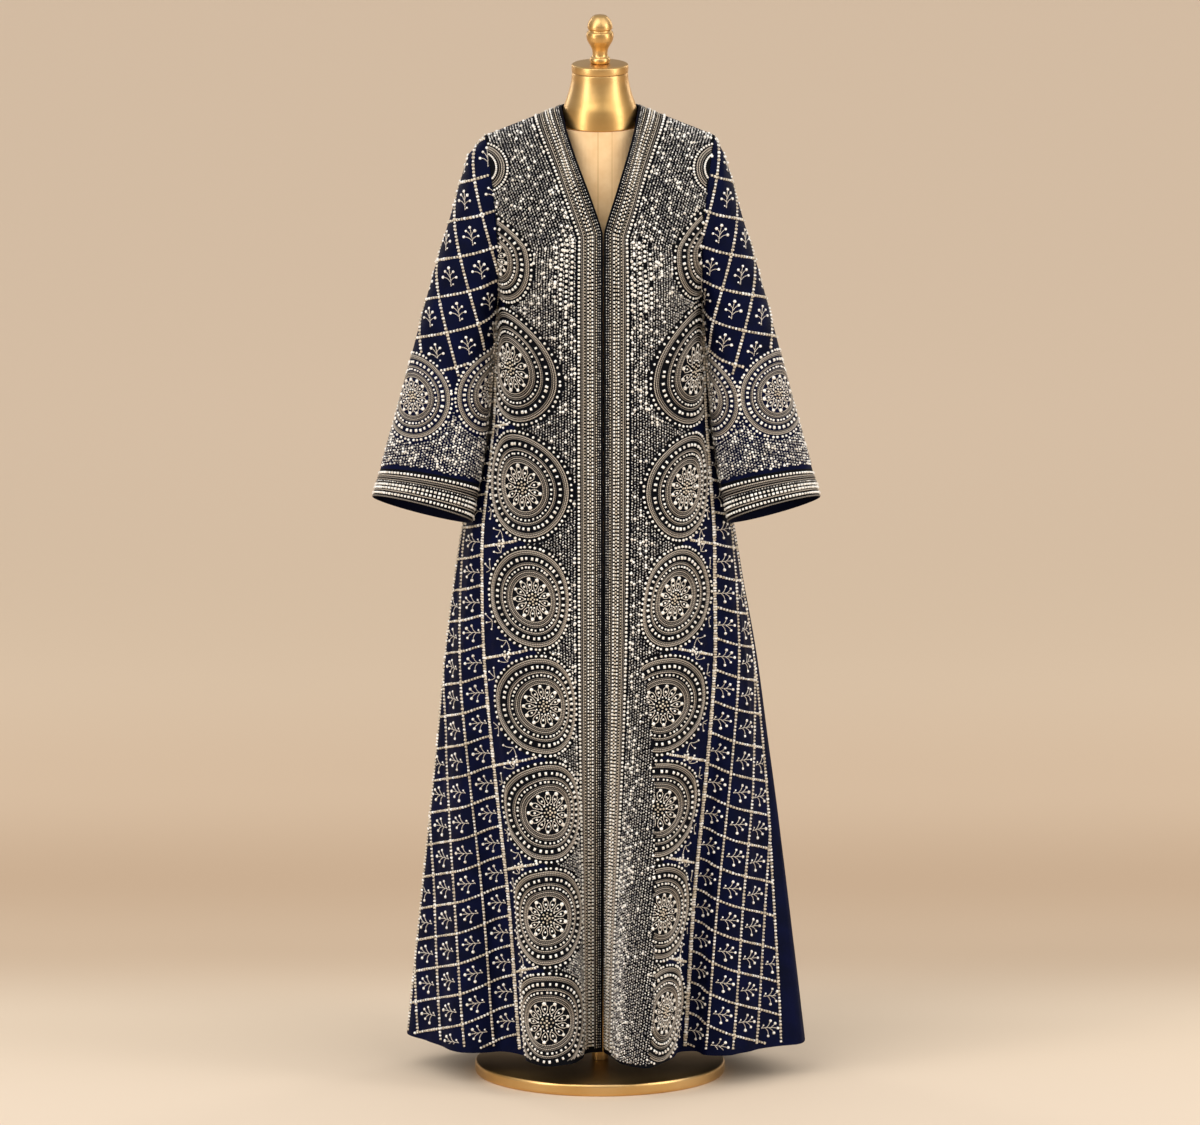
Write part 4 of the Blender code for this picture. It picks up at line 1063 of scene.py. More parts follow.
class Work:
    """The embroidery of one piece, gathered before it is joined into two meshes."""

    def __init__(self, cloth):
        self.cloth = cloth
        self.bead_points, self.bead_faces, self.bead_slots = [], {3: [], 4: []}, {3: [], 4: []}
        self.cord_points, self.cord_maps, self.cord_faces, self.cord_slots = [], [], [], []
        self.bead_count = self.cord_count = 0

    def beads(self, first, second, size, kind="seed", slot=0, heading=0.0, keep=True):
        """Lay beads with their length, width and height at spots of the chart.

        heading turns each bead's length away from the direction in which the
        first coordinate grows, towards the second.
        """
        first, second = np.broadcast_arrays(first, second)
        point, out, one, two, inside = self.cloth.spots(first, second)
        inside = inside & keep
        size = np.broadcast_to(size, (len(first), 3))[inside, None]
        heading = np.broadcast_to(heading, first.shape)[:, None]
        one = (one * np.cos(heading) + two * np.sin(heading))[inside, None]
        point, out = point[inside, None], out[inside, None]
        form, faces = BEAD_FORMS[kind]
        points = (point + one * form[:, 0:1] * size[..., 0:1] / 2
                  + np.cross(out, one) * form[:, 1:2] * size[..., 1:2] / 2
                  + out * form[:, 2:3] * size[..., 2:3])
        offset = np.arange(len(point)) * len(form) + self.bead_count
        for sides, pattern in faces.items():
            laid = (pattern[None] + offset[:, None, None]).reshape(-1, sides)
            self.bead_faces[sides].append(laid)
            self.bead_slots[sides].append(np.full(len(laid), slot))
        self.bead_points.append(points.reshape(-1, 3))
        self.bead_count += len(point) * len(form)

    def cord(self, paths, width, height, slot, keep=None):
        """Lay cord along paths of the chart, as low rounded strips."""
        flat = np.concatenate(paths)
        which = np.repeat(np.arange(len(paths)), [len(path) for path in paths])
        point, out, _, _, inside = self.cloth.spots(flat[:, 0], flat[:, 1])
        if keep is not None:
            inside = inside & keep(flat[:, 0], flat[:, 1])
        step = np.diff(point, axis=0)
        last = np.append(which[1:] != which[:-1], True)
        first = np.append(True, last[:-1])
        joined = ~last & inside & np.append(inside[1:], False)
        ahead = np.append(step, step[-1:], axis=0)
        before = np.concatenate((step[:1], step))
        ahead[last] = before[last]
        before = np.concatenate((ahead[:1], ahead[:-1]))
        ahead = unit(unit(ahead) + np.where(first[:, None], 0.0, unit(before)))
        beside = unit(np.cross(out, ahead))
        run = np.cumsum(np.where(first, 0.0, np.append(0.0, np.linalg.norm(step, axis=1))))
        points = np.stack([point + beside * width * lane + out * (height * lift + CORD_LIFT)
                           for lane, lift in CORD_SECTION], axis=1)
        maps = np.stack([together(run, lane * width) for lane, _ in CORD_SECTION], axis=1)
        corners = len(CORD_SECTION)
        start = np.flatnonzero(joined) * corners + self.cord_count
        faces = np.concatenate([together(start + i, start + i + 1, start + i + corners + 1,
                                         start + i + corners)
                                for i in range(corners - 1)])
        self.cord_points.append(points.reshape(-1, 3))
        self.cord_maps.append(maps.reshape(-1, 2))
        self.cord_faces.append(faces)
        self.cord_slots.append(np.full(len(faces), slot))
        self.cord_count += len(point) * corners

    def join(self, name):
        """Join what was laid into a cord piece and a bead piece, and return both."""
        faces = np.concatenate(self.cord_faces)
        used, renumbered = np.unique(faces, return_inverse=True)
        cords = new_mesh(f"{name}_cord", np.concatenate(self.cord_points)[used],
                         [renumbered.reshape(faces.shape)], np.concatenate(self.cord_slots))
        give_map(cords, "cord", np.concatenate(self.cord_maps)[used])
        faces = [np.concatenate(f) for f in self.bead_faces.values() if f]
        slots = np.concatenate([np.concatenate(s) for s in self.bead_slots.values() if s])
        beads = new_mesh(f"{name}_beads", np.concatenate(self.bead_points), faces, slots)
        self.cloth.pieces = [show(cords, CORD_MATERIALS), show(beads, BEAD_MATERIALS)]
        return self.cloth.pieces


# ---- the embroidery ----
# Bead slots: ivory glass, silver-lined seed beads and champagne glass
IVORY, SILVER, PALE_GOLD = 0, 1, 2
# Cord slots: light and dark metallic cord, and the thread that draws stems and petals
CHAMPAGNE, GREIGE, THREAD = 0, 1, 2
HEM_MARGIN = 0.0065  # plain cloth left below the embroidery

MEDALLION_CORDS = (
    # share of the radius, width, slot
    (0.456, 0.0015, CHAMPAGNE),
    (0.490, 0.0015, GREIGE),
    (0.526, 0.0015, CHAMPAGNE),
    (0.558, 0.0011, GREIGE),
    (0.676, 0.0016, CHAMPAGNE),
    (0.706, 0.0011, GREIGE),
    (0.872, 0.0015, GREIGE),
    (0.902, 0.0015, CHAMPAGNE),
    (0.938, 0.0019, CHAMPAGNE),
)
MEDALLION_BEADS = (
    # share of the radius, count, length round the ring, width, height, form, slot
    (1.005, 58, 0.0044, 0.0042, 0.0026, "round", IVORY),
    (0.788, 42, 0.0041, 0.0053, 0.0022, "seed", IVORY),
    (0.617, 44, 0.0033, 0.0035, 0.0018, "seed", IVORY),
    (0.394, 13, 0.0060, 0.0060, 0.0030, "round", IVORY),
    (0.285, 13, 0.0036, 0.0036, 0.0020, "round", IVORY),
    (0.168, 15, 0.0028, 0.0026, 0.0016, "seed", IVORY),
    (0.105, 8, 0.0032, 0.0032, 0.0018, "seed", PALE_GOLD),
    (0.040, 4, 0.0032, 0.0032, 0.0020, "seed", PALE_GOLD),
)
PETALS = 13
PETAL_REACH = (0.185, 0.385)  # from and to, as shares of the radius
PETAL_HALF_WIDTH = 0.0056
PETAL_ROOT = 0.35  # share of its width that a petal keeps at the root
PETAL_THREAD = (0.0012, 0.0007)  # width and height
CIRCLE_STEP = 0.0050  # between two points of a round cord
# Heights of the cords on rings, on bands and cuffs, and on the lattice
RING_HEIGHT, TRIM_HEIGHT, LATTICE_HEIGHT = 0.0011, 0.0012, 0.0010
PETAL_POINTS = 10  # of the loop of thread round a petal
RING_STRAY_ROUND, RING_STRAY_OUT = 0.10, 0.00022  # of a bead: in steps, and in metres
EVEN_RING = 20  # a ring with no more beads than this has them at even steps
MEDALLIONS_SHOWN = range(1, 9)  # those of the column that lie whole on the front
FRONT_HEM_MARGIN = 0.004  # the last medallion is cut off this far above the hem

SHOULDER_RING = np.array((0.156, 0.070))  # centre of the ring that the armhole cuts
SHOULDER_CORDS = (
    # radius, width, slot
    (0.0395, 0.0016, GREIGE),
    (0.0430, 0.0020, CHAMPAGNE),
    (0.0465, 0.0020, CHAMPAGNE),
)
SHOULDER_BEADS = ((0.0520, (0.0040, 0.0040, 0.0024)), (0.0345, (0.0034, 0.0034, 0.0024)))
SHOULDER_CORD_STEPS, SHOULDER_BEAD_COUNT = 90, 60  # round a whole ring
SHOULDER_CLEAR = 0.0560  # the field keeps this far from the ring's centre

BAND_CORDS = (
    # share of the band's width from its free edge, width, slot
    (0.325, 0.0012, GREIGE),
    (0.645, 0.0010, GREIGE),
    (0.770, 0.0017, CHAMPAGNE),
    (0.848, 0.0013, GREIGE),
)
BAND_BEADS = (
    # share of the band's width, pitch, length, width, height, form, slot
    (0.100, 0.0040, 0.0027, 0.0017, 0.0015, "seed", SILVER),
    (0.175, 0.0040, 0.0027, 0.0017, 0.0015, "seed", SILVER),
    (0.250, 0.0042, 0.0029, 0.0018, 0.0016, "seed", PALE_GOLD),
    (0.405, 0.0056, 0.0040, 0.0032, 0.0024, "seed", IVORY),
    (0.492, 0.0052, 0.0034, 0.0026, 0.0022, "seed", PALE_GOLD),
    (0.575, 0.0056, 0.0037, 0.0029, 0.0023, "seed", IVORY),
    (0.705, 0.0046, 0.0027, 0.0018, 0.0016, "seed", PALE_GOLD),
    (0.945, 0.0060, 0.0045, 0.0045, 0.0028, "round", IVORY),
)
BAND_START = 0.001  # the band's embroidery starts this far from the centre back
BAND_STEP, CUFF_STEP = 0.0075, 0.0055  # between two points of their cords
CUFF_CORDS = (
    # share down the cuff, width, slot
    (0.225, 0.0020, CHAMPAGNE),
    (0.290, 0.0018, GREIGE),
    (0.365, 0.0012, CHAMPAGNE),
    (0.740, 0.0016, CHAMPAGNE),
    (0.965, 0.0020, GREIGE),
)
CUFF_BEADS = (
    # share down the cuff, pitch, length, width, height, form, slot
    (0.120, 0.0060, 0.0040, 0.0042, 0.0022, "seed", IVORY),
    (0.430, 0.0046, 0.0032, 0.0026, 0.0018, "seed", SILVER),
    (0.535, 0.0064, 0.0046, 0.0042, 0.0026, "seed", IVORY),
    (0.655, 0.0064, 0.0046, 0.0042, 0.0026, "seed", IVORY),
    (0.850, 0.0058, 0.0040, 0.0042, 0.0024, "seed", IVORY),
)
FIELD_PITCH = 0.0043  # real seed beads lie closer; laid coarser so that they show
FIELD_ROW = FIELD_PITCH * 0.96
FIELD_BY_BAND, FIELD_BY_SHOULDER = 0.0046, 0.003  # where a front's first beads lie
FIELD_OFF_RING = 1.065  # the field keeps off a medallion by this share of its radius
FIELD_SEED, FIELD_ROUND = (0.0036, 0.0024, 0.0017), (0.0050, 0.0048, 0.0026)
SLEEVE_SEED, SLEEVE_ROUND = (0.0037, 0.0027, 0.0017), (0.0044, 0.0042, 0.0025)
HERRINGBONE = 0.55  # how far the field's seed beads lean, in radians
# Where round beads crowd on the fronts: a level and its spread, and a strip beside the
# band; off the strip they are fewer, and the left front has one more, down its fold
CHEST_LEVEL = (0.18, 0.27)
CHEST_STRIP = {-1: 0.020, 1: 0.024}
STRIP_HALF_WIDTH = 0.020
CHEST_ELSEWHERE = 0.18
CHEST_LARGER = 0.0008  # round beads are this much larger there
CHEST_BARE = 0.55  # past this the columns of round beads have no seed beads
FOLD_LEVEL, SHOULDER_LEVEL = -0.30, 0.50
# Shares of the spots that take a round bead
ROUND_ANYWHERE, ROUND_CHEST, ROUND_FOLD = 0.018, 1.30, 0.45
ROUND_SHOULDER, ROUND_BY_BAND, ROUND_SLEEVE = 0.06, 0.30, 0.20
BAR_FROM_COLUMN = 0.016  # a bar starts this far beyond the medallions' centre line
BAR_RISE = 0.004  # and this far above the middle between two of them
BAR_SLANT = np.array((1.0, 0.26))
LEAST_BAR = 0.030
KNOT_SHARE = 0.42  # the knot's place along its bar
KNOT_R = 0.0052
KNOT_BEAD = (0.0040, 0.0040, 0.0026)
SIDE_SPRIGS = (-0.92, -0.48, 0.48, 0.92)  # turn about the medallion, in radians
SIDE_SPRIG_ROOT = 1.075  # as a share of the medallion's radius
SIDE_SPRIG_STEMS = ((-0.13, 0.0085), (0.0, 0.0125), (0.13, 0.0085))  # spread and length
SIDE_SPRIG_BEAD = (0.0034, 0.0034, 0.0022)
SIDE_SPRIG_CLEAR = 0.003  # bare cloth between these sprigs and the gore's seam
LATTICE_CORD = 0.0034
GORE_CORD = 0.0030  # the finer cord of the side gores
LATTICE_PITCH = 0.0051
CORD_BEAD = (0.0038, 1.34, 0.0026)  # length, width as a share of the cord's, height
CORD_BEAD_TURN = 0.24  # how unevenly the beads point along the cord, in radians
CORD_IVORY = 0.36  # share of ivory beads on a beaded cord
STEM = (0.0010, 0.0006)  # width and height of the thread of a stem
TIP_HEIGHT = 0.55  # of a bead on a stem's tip, as a share of its size
# Sprig with its root at the bottom: where each stem leaves, where it ends, and its bead
SPRIG_STEMS = (
    # from sideways, from up, to sideways, to up, bend, bead size
    (0.0008, -0.0142, 0.0000, 0.0128, 0.03, 0.0048),
    (0.0002, -0.0010, -0.0070, 0.0078, 0.10, 0.0045),
    (0.0002, -0.0010, 0.0072, 0.0072, -0.10, 0.0047),
    (0.0005, -0.0072, -0.0114, -0.0006, 0.14, 0.0048),
    (0.0005, -0.0072, 0.0112, -0.0012, -0.14, 0.0044),
    (0.0008, -0.0142, 0.0048, -0.0112, -0.10, 0.0030),
)


def varied(size, low, high, count):
    """One size for each of so many beads, no two quite alike."""
    return np.array(size) * CHANCE.uniform(low, high, (count, 1))


def circle_path(radius, steps):
    """A closed circle of points about nothing."""
    turn = np.linspace(0.0, tau, steps + 1)
    return radius * together(np.cos(turn), np.sin(turn))


def line_path(start, end, step=0.006):
    """A straight run of points between two spots."""
    start, end = np.asarray(start, float), np.asarray(end, float)
    count = max(2, int(np.linalg.norm(end - start) / step) + 1)
    return start + (end - start) * np.linspace(0.0, 1.0, count)[:, None]


def bow_path(start, end, bend):
    """A short stem that bows sideways: a parabola over the straight line."""
    start, end = np.asarray(start, float), np.asarray(end, float)
    t = even_shares(4)[:, None]
    side = np.array((-(end - start)[1], (end - start)[0]))
    return start + (end - start) * t + side * bend * 4.0 * t * (1.0 - t)


def lay_medallion(work, spot, radius):
    """One round medallion: cords, then petals couched in thread, then rings of beads.

    spot turns metres out and down from the medallion's centre into the piece's
    chart, and says which of them the cloth shows.
    """
    def couch(paths, width, height, slot):
        first, second, shown = spot(*np.concatenate(paths).T)
        laid = np.split(together(first, second),
                        np.cumsum([len(path) for path in paths])[:-1])
        work.cord(laid, width, height, slot, lambda a, b: shown)

    cords = {}
    for share, width, slot in MEDALLION_CORDS:
        steps = int(tau * radius * share / CIRCLE_STEP)
        cords.setdefault((width, slot), []).append(circle_path(radius * share, steps))
    for (width, slot), paths in cords.items():
        couch(paths, width, RING_HEIGHT, slot)
    low, high = (radius * share for share in PETAL_REACH)
    turn = np.linspace(0.0, tau, PETAL_POINTS)
    away = (low + high) / 2.0 - (high - low) / 2.0 * np.cos(turn)
    fullness = PETAL_ROOT + (1.0 - PETAL_ROOT) * (away - low) / (high - low)
    aside = PETAL_HALF_WIDTH * np.sin(turn) * fullness
    heading = tau * np.arange(PETALS)[:, None] / PETALS + aside / away
    loops = together(away * np.cos(heading), away * np.sin(heading))
    couch(list(loops), *PETAL_THREAD, THREAD)
    for share, count, length, width, height, form, slot in MEDALLION_BEADS:
        turn = np.arange(count) * tau / count
        strayed = CHANCE.normal(0.0, RING_STRAY_ROUND, count) * tau / count
        turn = turn + strayed * (count > EVEN_RING)
        away = radius * share + CHANCE.normal(0.0, RING_STRAY_OUT, count)
        first, second, shown = spot(away * np.cos(turn), away * np.sin(turn))
        work.beads(first, second, varied((length, width, height), 0.86, 1.12, count), form,
                   slot, turn + pi / 2, shown)


def lay_sprigs(work, centres, turned, mirror, keep):
    """Sprigs of couched stems with a bead on every tip, at centres of the chart.

    turned is the way the sprig points, from the second coordinate falling.  The tips'
    beads step through a few sizes.
    """
    across = np.array((cos(turned), sin(turned))) * mirror
    up = np.array((sin(turned), -cos(turned)))
    stems, tips, sizes = [], [], []
    for centre in centres:
        for from_side, from_up, side, upward, bend, size in SPRIG_STEMS:
            tips.append(centre + side * across + upward * up)
            stems.append(bow_path(centre + from_side * across + from_up * up, tips[-1],
                                  bend * mirror))
            sizes.append(size * (0.88 + 0.24 * ((len(tips) * 7) % 11) / 10.0))
    lay_stems(work, stems, tips, np.outer(sizes, (1.0, 1.0, TIP_HEIGHT)), keep)


def lay_stems(work, stems, tips, size, keep):
    """Stems couched in thread, with a round bead on each tip."""
    work.cord(stems, *STEM, THREAD, keep)
    first, second = np.transpose(tips)
    work.beads(first, second, size, "round", IVORY, keep=keep(first, second))


def everywhere(first, second):
    """Keeps every spot."""
    return np.full(len(first), True)


def lay_beaded_cord(work, paths, width, pitch, keep=everywhere):
    """A dark cord with one row of beads couched along it, a third of them ivory."""
    work.cord(paths, width, LATTICE_HEIGHT, GREIGE, keep)
    spots, headings = [], []
    for path in paths:
        run = lengths_along(path[None])[0]
        stops = np.arange(pitch / 2, run[-1], pitch)
        spots.append([np.interp(stops, run, path[:, i]) for i in (0, 1)])
        ahead = np.diff(path, axis=0)
        turn = np.arctan2(ahead[:, 1], ahead[:, 0])
        headings.append(turn[np.clip(np.searchsorted(run, stops) - 1, 0, len(turn) - 1)])
    first, second = np.concatenate(spots, axis=1)
    count = len(first)
    size = varied(np.array(CORD_BEAD) * (1.0, width, 1.0), 0.82, 1.12, count)
    headings = np.concatenate(headings) + CHANCE.normal(0.0, CORD_BEAD_TURN, count)
    laid = keep(first, second)
    ivory = CHANCE.random(count) < CORD_IVORY
    for chosen, slot in ((ivory, IVORY), (~ivory, PALE_GOLD)):
        work.beads(first, second, size, "seed", slot, headings, laid & chosen)


def field_spots(start, end, first_column):
    """Spots of the beaded field in columns, every other one half a step lower."""
    first, second = np.meshgrid(np.arange(start[0], end[0], FIELD_PITCH),
                                np.arange(start[1], end[1], FIELD_ROW))
    column = np.rint((first - start[0]) / FIELD_PITCH).astype(int) + first_column
    return first.ravel(), (second + column % 2 * FIELD_ROW / 2).ravel(), column.ravel()


def front_spot(cloth, number, out, down):
    """Chart place of metres out and down from a medallion's centre, and if it shows."""
    here = number + down / MEDALLION_PITCH
    centre, inner, outer, cut = column_sizes(cloth.side, here)
    t = out / MEDALLION_R
    across = centre + (inner + outer) / 2.0 * t + (outer - inner) / 2.0 * t * t
    drop = np.interp(here, *MEDALLIONS[cloth.side][:, :2].T)
    return across, drop, (across > cut) & (drop < cloth.fall[-1] - FRONT_HEM_MARGIN)


def front_width(cloth, drop):
    """Distance of a front's outer seam from its free edge at a drop down the chart."""
    return np.interp(drop, cloth.fall, cloth.chart[:, -1, 0])


def lay_front(cloth):
    """Embroidery of a front: the medallions, the shoulder ring, the field and the rest."""
    work = Work(cloth)
    for number in MEDALLIONS_SHOWN:
        lay_medallion(work, lambda out, down, n=number: front_spot(cloth, n, out, down),
                      MEDALLION_R)
    for radius, width, slot in SHOULDER_CORDS:
        ring = SHOULDER_RING + circle_path(radius, SHOULDER_CORD_STEPS)
        work.cord([ring], width, RING_HEIGHT, slot)
    for radius, size in SHOULDER_BEADS:
        ring = SHOULDER_RING + circle_path(radius, SHOULDER_BEAD_COUNT)[:-1]
        first, second = ring.T
        work.beads(first, second, size, "round", IVORY)
    lay_front_field(work)
    lay_bars(work)
    lay_side_sprigs(work)
    return work


def lay_front_field(work):
    """The field of beads on a front, in columns that run along the band.

    Seed beads lean one way and the other like herringbone towards the hem.  Round
    beads take every other spot of every other column where the chest is fullest and,
    on the left, down the fold beside the band, and some spots elsewhere.
    """
    cloth = work.cloth
    across, down, column = field_spots(
        (BAND_WIDTH + FIELD_BY_BAND, FIELD_BY_SHOULDER),
        (cloth.chart[..., 0].max(), cloth.fall[-1] - HEM_MARGIN), 1)
    level = np.interp(down, cloth.fall, cloth.levels)
    across = across + band_width_at(level) - BAND_WIDTH
    rows, columns, inside = cloth.find(across, down)
    place = cloth.read(cloth.medallions, rows, columns)
    below = np.mod(place[..., 1] / MEDALLION_PITCH + 0.5, 1.0) - 0.5
    away = np.hypot(place[..., 0], below * MEDALLION_PITCH)
    from_ring = np.hypot(across - SHOULDER_RING[0], down - SHOULDER_RING[1])
    in_field = (inside & (place[..., 2] < 0.0) & (away > MEDALLION_R * FIELD_OFF_RING)
                & (from_ring > SHOULDER_CLEAR))
    across, down, column, level = (v[in_field] for v in (across, down, column, level))
    count = len(across)
    across = across + CHANCE.normal(0.0, 0.00035, count)
    down = down + CHANCE.normal(0.0, 0.00045, count)

    beside = column * FIELD_PITCH
    strip = bell(beside, CHEST_STRIP[cloth.side], STRIP_HALF_WIDTH)
    chest = bell(level, *CHEST_LEVEL) * (CHEST_ELSEWHERE + (1.0 - CHEST_ELSEWHERE) * strip)
    fold = (cloth.side > 0) * (level < FOLD_LEVEL) * bell(beside, STRIP_HALF_WIDTH,
                                                          STRIP_HALF_WIDTH)
    even = column % 2 == 0
    row = np.rint(down / FIELD_ROW - (column % 2) * 0.5).astype(int)
    in_rank = even & ((row + column // 2) % 2 == 0)
    by_band = (column == 1) & (row % 2 == 0)
    large = CHANCE.random(count) < (ROUND_ANYWHERE
                                    + (ROUND_CHEST * chest + ROUND_FOLD * fold) * in_rank
                                    + ROUND_SHOULDER * (level > SHOULDER_LEVEL)
                                    + ROUND_BY_BAND * by_band)
    size = np.array(FIELD_ROUND) + CHEST_LARGER * chest[large, None]
    work.beads(across[large], down[large], varied(size, 0.84, 1.08, large.sum()), "round",
               IVORY, CHANCE.uniform(0, tau, large.sum()))
    small = ~large & ~(even & ~in_rank & (chest > CHEST_BARE))
    lean = HERRINGBONE * np.where(even, 1.0, -1.0) * np.clip(0.1 - level, 0.0, 0.5) * 2.0
    lean = pi / 2 + lean + CHANCE.normal(0.0, 0.22, count)
    work.beads(across[small], down[small],
               varied(FIELD_SEED, 0.80, 1.12, small.sum()), "seed", SILVER, lean[small])


def lay_bars(work):
    """Bars with a four-petalled knot, from between two medallions to the outer seam."""
    cloth, bars, knots = work.cloth, [], []
    for gap in np.arange(MEDALLIONS_SHOWN[0], MEDALLIONS_SHOWN[-1]) + 0.5:
        inner_end = column_sizes(cloth.side, gap)[0] + BAR_FROM_COLUMN
        low = np.interp(gap, *MEDALLIONS[cloth.side][:, :2].T)
        room = front_width(cloth, low) - inner_end
        if room > LEAST_BAR:
            start = np.array((inner_end, low - BAR_RISE))
            bars.append(line_path(start, start + BAR_SLANT * room))
            knots.append(start + BAR_SLANT * room * KNOT_SHARE)
    lay_beaded_cord(work, bars, LATTICE_CORD, LATTICE_PITCH)
    for petal in circle_path(KNOT_R, 8)[1:8:2]:
        first, second = np.transpose(knots + petal)
        work.beads(first, second, KNOT_BEAD, "round", IVORY)


def lay_side_sprigs(work):
    """Small sprigs of three stems on the outer side of each medallion of a front."""
    stems, tips = [], []
    for number in MEDALLIONS_SHOWN:
        for angle in SIDE_SPRIGS:
            for spread, reach in SIDE_SPRIG_STEMS:
                away = SIDE_SPRIG_ROOT * MEDALLION_R + np.array((0.0, reach))
                turn = angle + np.array((0.0, spread))
                first, second, shown = front_spot(work.cloth, number, away * np.cos(turn),
                                                  away * np.sin(turn))
                if shown.all():
                    stems.append(bow_path((first[0], second[0]), (first[1], second[1]), 0.08))
                    tips.append((first[1], second[1]))
    lay_stems(work, stems, tips, SIDE_SPRIG_BEAD,
              lambda a, b: a < front_width(work.cloth, b) - SIDE_SPRIG_CLEAR)


def lay_band(cloth):
    """Embroidery of a front band: cords and rows of beads from the hem to the nape."""
    work = Work(cloth)
    longest = cloth.chart[-1, 0, 1] - HEM_MARGIN
    for share, width, slot in BAND_CORDS:
        work.cord([line_path((share, BAND_START), (share, longest), BAND_STEP)], width,
                  TRIM_HEIGHT, slot)
    for share, pitch, length, width, height, form, slot in BAND_BEADS:
        stops = np.arange(BAND_START + pitch / 2, longest - pitch / 4, pitch)
        stops = stops + CHANCE.normal(0.0, pitch * 0.03, len(stops))
        work.beads(share, stops, varied((length, width, height), 0.86, 1.08, len(stops)),
                   form, slot, pi / 2)
    return work


def lay_cuff(cloth):
    """Embroidery of a cuff: cords and rows of square beads all round it."""
    work = Work(cloth)
    around, shares = cloth.chart[:, -1, 0], cloth.chart[:, 0, 1]
    for share, width, slot in CUFF_CORDS:
        end = (np.interp(share, shares, around), share)
        work.cord([line_path((0.0, share), end, CUFF_STEP)], width, TRIM_HEIGHT, slot)
    for share, pitch, length, width, height, form, slot in CUFF_BEADS:
        girth = np.interp(share, shares, around)
        count = int(girth / pitch)
        work.beads((np.arange(count) + 0.5) * girth / count, share,
                   varied((length, width, height), 0.86, 1.08, count), form, slot)
    return work


GORE_LATTICE = {
    # side: between lines, between rows, how far below the underarm one row meets
    # the front seam, and how much a row falls for each metre away from that seam
    -1: (0.0445, 0.0453, 0.8807, 0.39),
    1: (0.0405, 0.0475, 0.8408, 0.40),
}
GORE_LINES = range(1, 8)  # numbers of the lines down a gore, and of its rows
GORE_ROWS = np.arange(-24, 8)
GORE_REACH = 0.34  # more than a gore is wide
GORE_FRONT_CORD = (0.0027, 0.0052, 0.0040)  # from the front seam, width, bead pitch
GORE_BACK_CORD = 0.0024  # from the back seam
GORE_MARGINS = (0.0012, 0.0015)  # bare cloth at the front and the back seam
GORE_EDGE, GORE_EDGE_STEPS = 0.05, 160  # where the back cord starts, and its points
GORE_CELLS = np.mgrid[0:7, -26:8].reshape(2, -1) + 0.5  # line and row of each cell's middle
GORE_CELL_IN = 0.004  # how far inside the gore the middle of a cell has to be
GORE_SPRIG_TURN = pi / 2 + 0.10
GORE_SPRIG_MARGINS, GORE_SPRIG_DROP = (0.006, 0.005), 0.002


def lay_gore(cloth):
    """Embroidery of a side gore: lines along the front seam, slanting rows and sprigs."""
    work = Work(cloth)
    drops, widths = cloth.chart[:, 0, 1], cloth.chart[:, -1, 0]
    lowest = drops[-1] - HEM_MARGIN

    def clear(from_front, from_back):
        return lambda a, b: ((b < lowest) & (a > from_front)
                             & (a < np.interp(b, drops, widths) - from_back))

    between_lines, between_rows, first_row, row_fall = GORE_LATTICE[cloth.side]
    lines = [line_path((i * between_lines, 0.0), (i * between_lines, lowest))
             for i in GORE_LINES]
    starts = first_row + GORE_ROWS * between_rows
    rows = [line_path((0.0, start), (GORE_REACH, start + GORE_REACH * row_fall))
            for start in starts]
    lay_beaded_cord(work, lines, GORE_CORD, LATTICE_PITCH, clear(*GORE_MARGINS))
    lay_beaded_cord(work, rows, GORE_CORD, LATTICE_PITCH, clear(*GORE_MARGINS))
    from_seam, width, pitch = GORE_FRONT_CORD
    lay_beaded_cord(work, [line_path((from_seam, 0.0), (from_seam, lowest))], width, pitch,
                    clear(-1.0, 0.0))
    edge = np.linspace(GORE_EDGE, lowest, GORE_EDGE_STEPS)
    edge = together(np.interp(edge, drops, widths) - GORE_BACK_CORD, edge)
    lay_beaded_cord(work, [edge], GORE_CORD, LATTICE_PITCH, clear(GORE_MARGINS[0], -1.0))
    across = GORE_CELLS[0] * between_lines
    drop = first_row + GORE_CELLS[1] * between_rows + across * row_fall
    kept = (drop > 0.0) & (drop < lowest)
    kept &= np.interp(drop, drops, widths) > across + GORE_CELL_IN
    lay_sprigs(work, together(across, drop)[kept], GORE_SPRIG_TURN, -1.0,
               lambda a, b: clear(*GORE_SPRIG_MARGINS)(a, b + GORE_SPRIG_DROP))
    return work


SLEEVE_MEDALLION_R = 0.0630
SLEEVE_MEDALLIONS = {
    -1: ((-0.030, 0.402), (0.098, 0.372), (-0.156, 0.400)),
    1: ((-0.017, 0.394), (0.106, 0.380), (-0.146, 0.396)),
}
SLEEVE_FIELD_TOP = 0.400  # metres down the sleeve at which the beaded field starts
SLEEVE_LATTICE = (0.0490, 0.0530)  # from one steep line to the next, and from row to row
SLEEVE_STEEP = 0.480  # how far the steep lines lean off the way down the sleeve
SLEEVE_RISING = 0.470  # how far the rows rise towards the body
SLEEVE_NODE = {-1: (-0.002, 0.177), 1: (0.010, 0.171)}  # a crossing: metres round and down
SLEEVE_LINES = range(-9, 10)  # lines, and cells, counted each way from that crossing
SLEEVE_REACH, SLEEVE_EDGE = 0.6, 0.01  # half a line's length, and how far past the cloth
SLEEVE_SPRIG_TURN = -0.36
SLEEVE_ABOVE_FIELD = 0.004  # where the lattice ends
SLEEVE_FIELD_ENDS = 1.6  # rows of the cloth's grid above the sleeve's end
SLEEVE_JITTER = 0.0004  # metres a bead is off its place


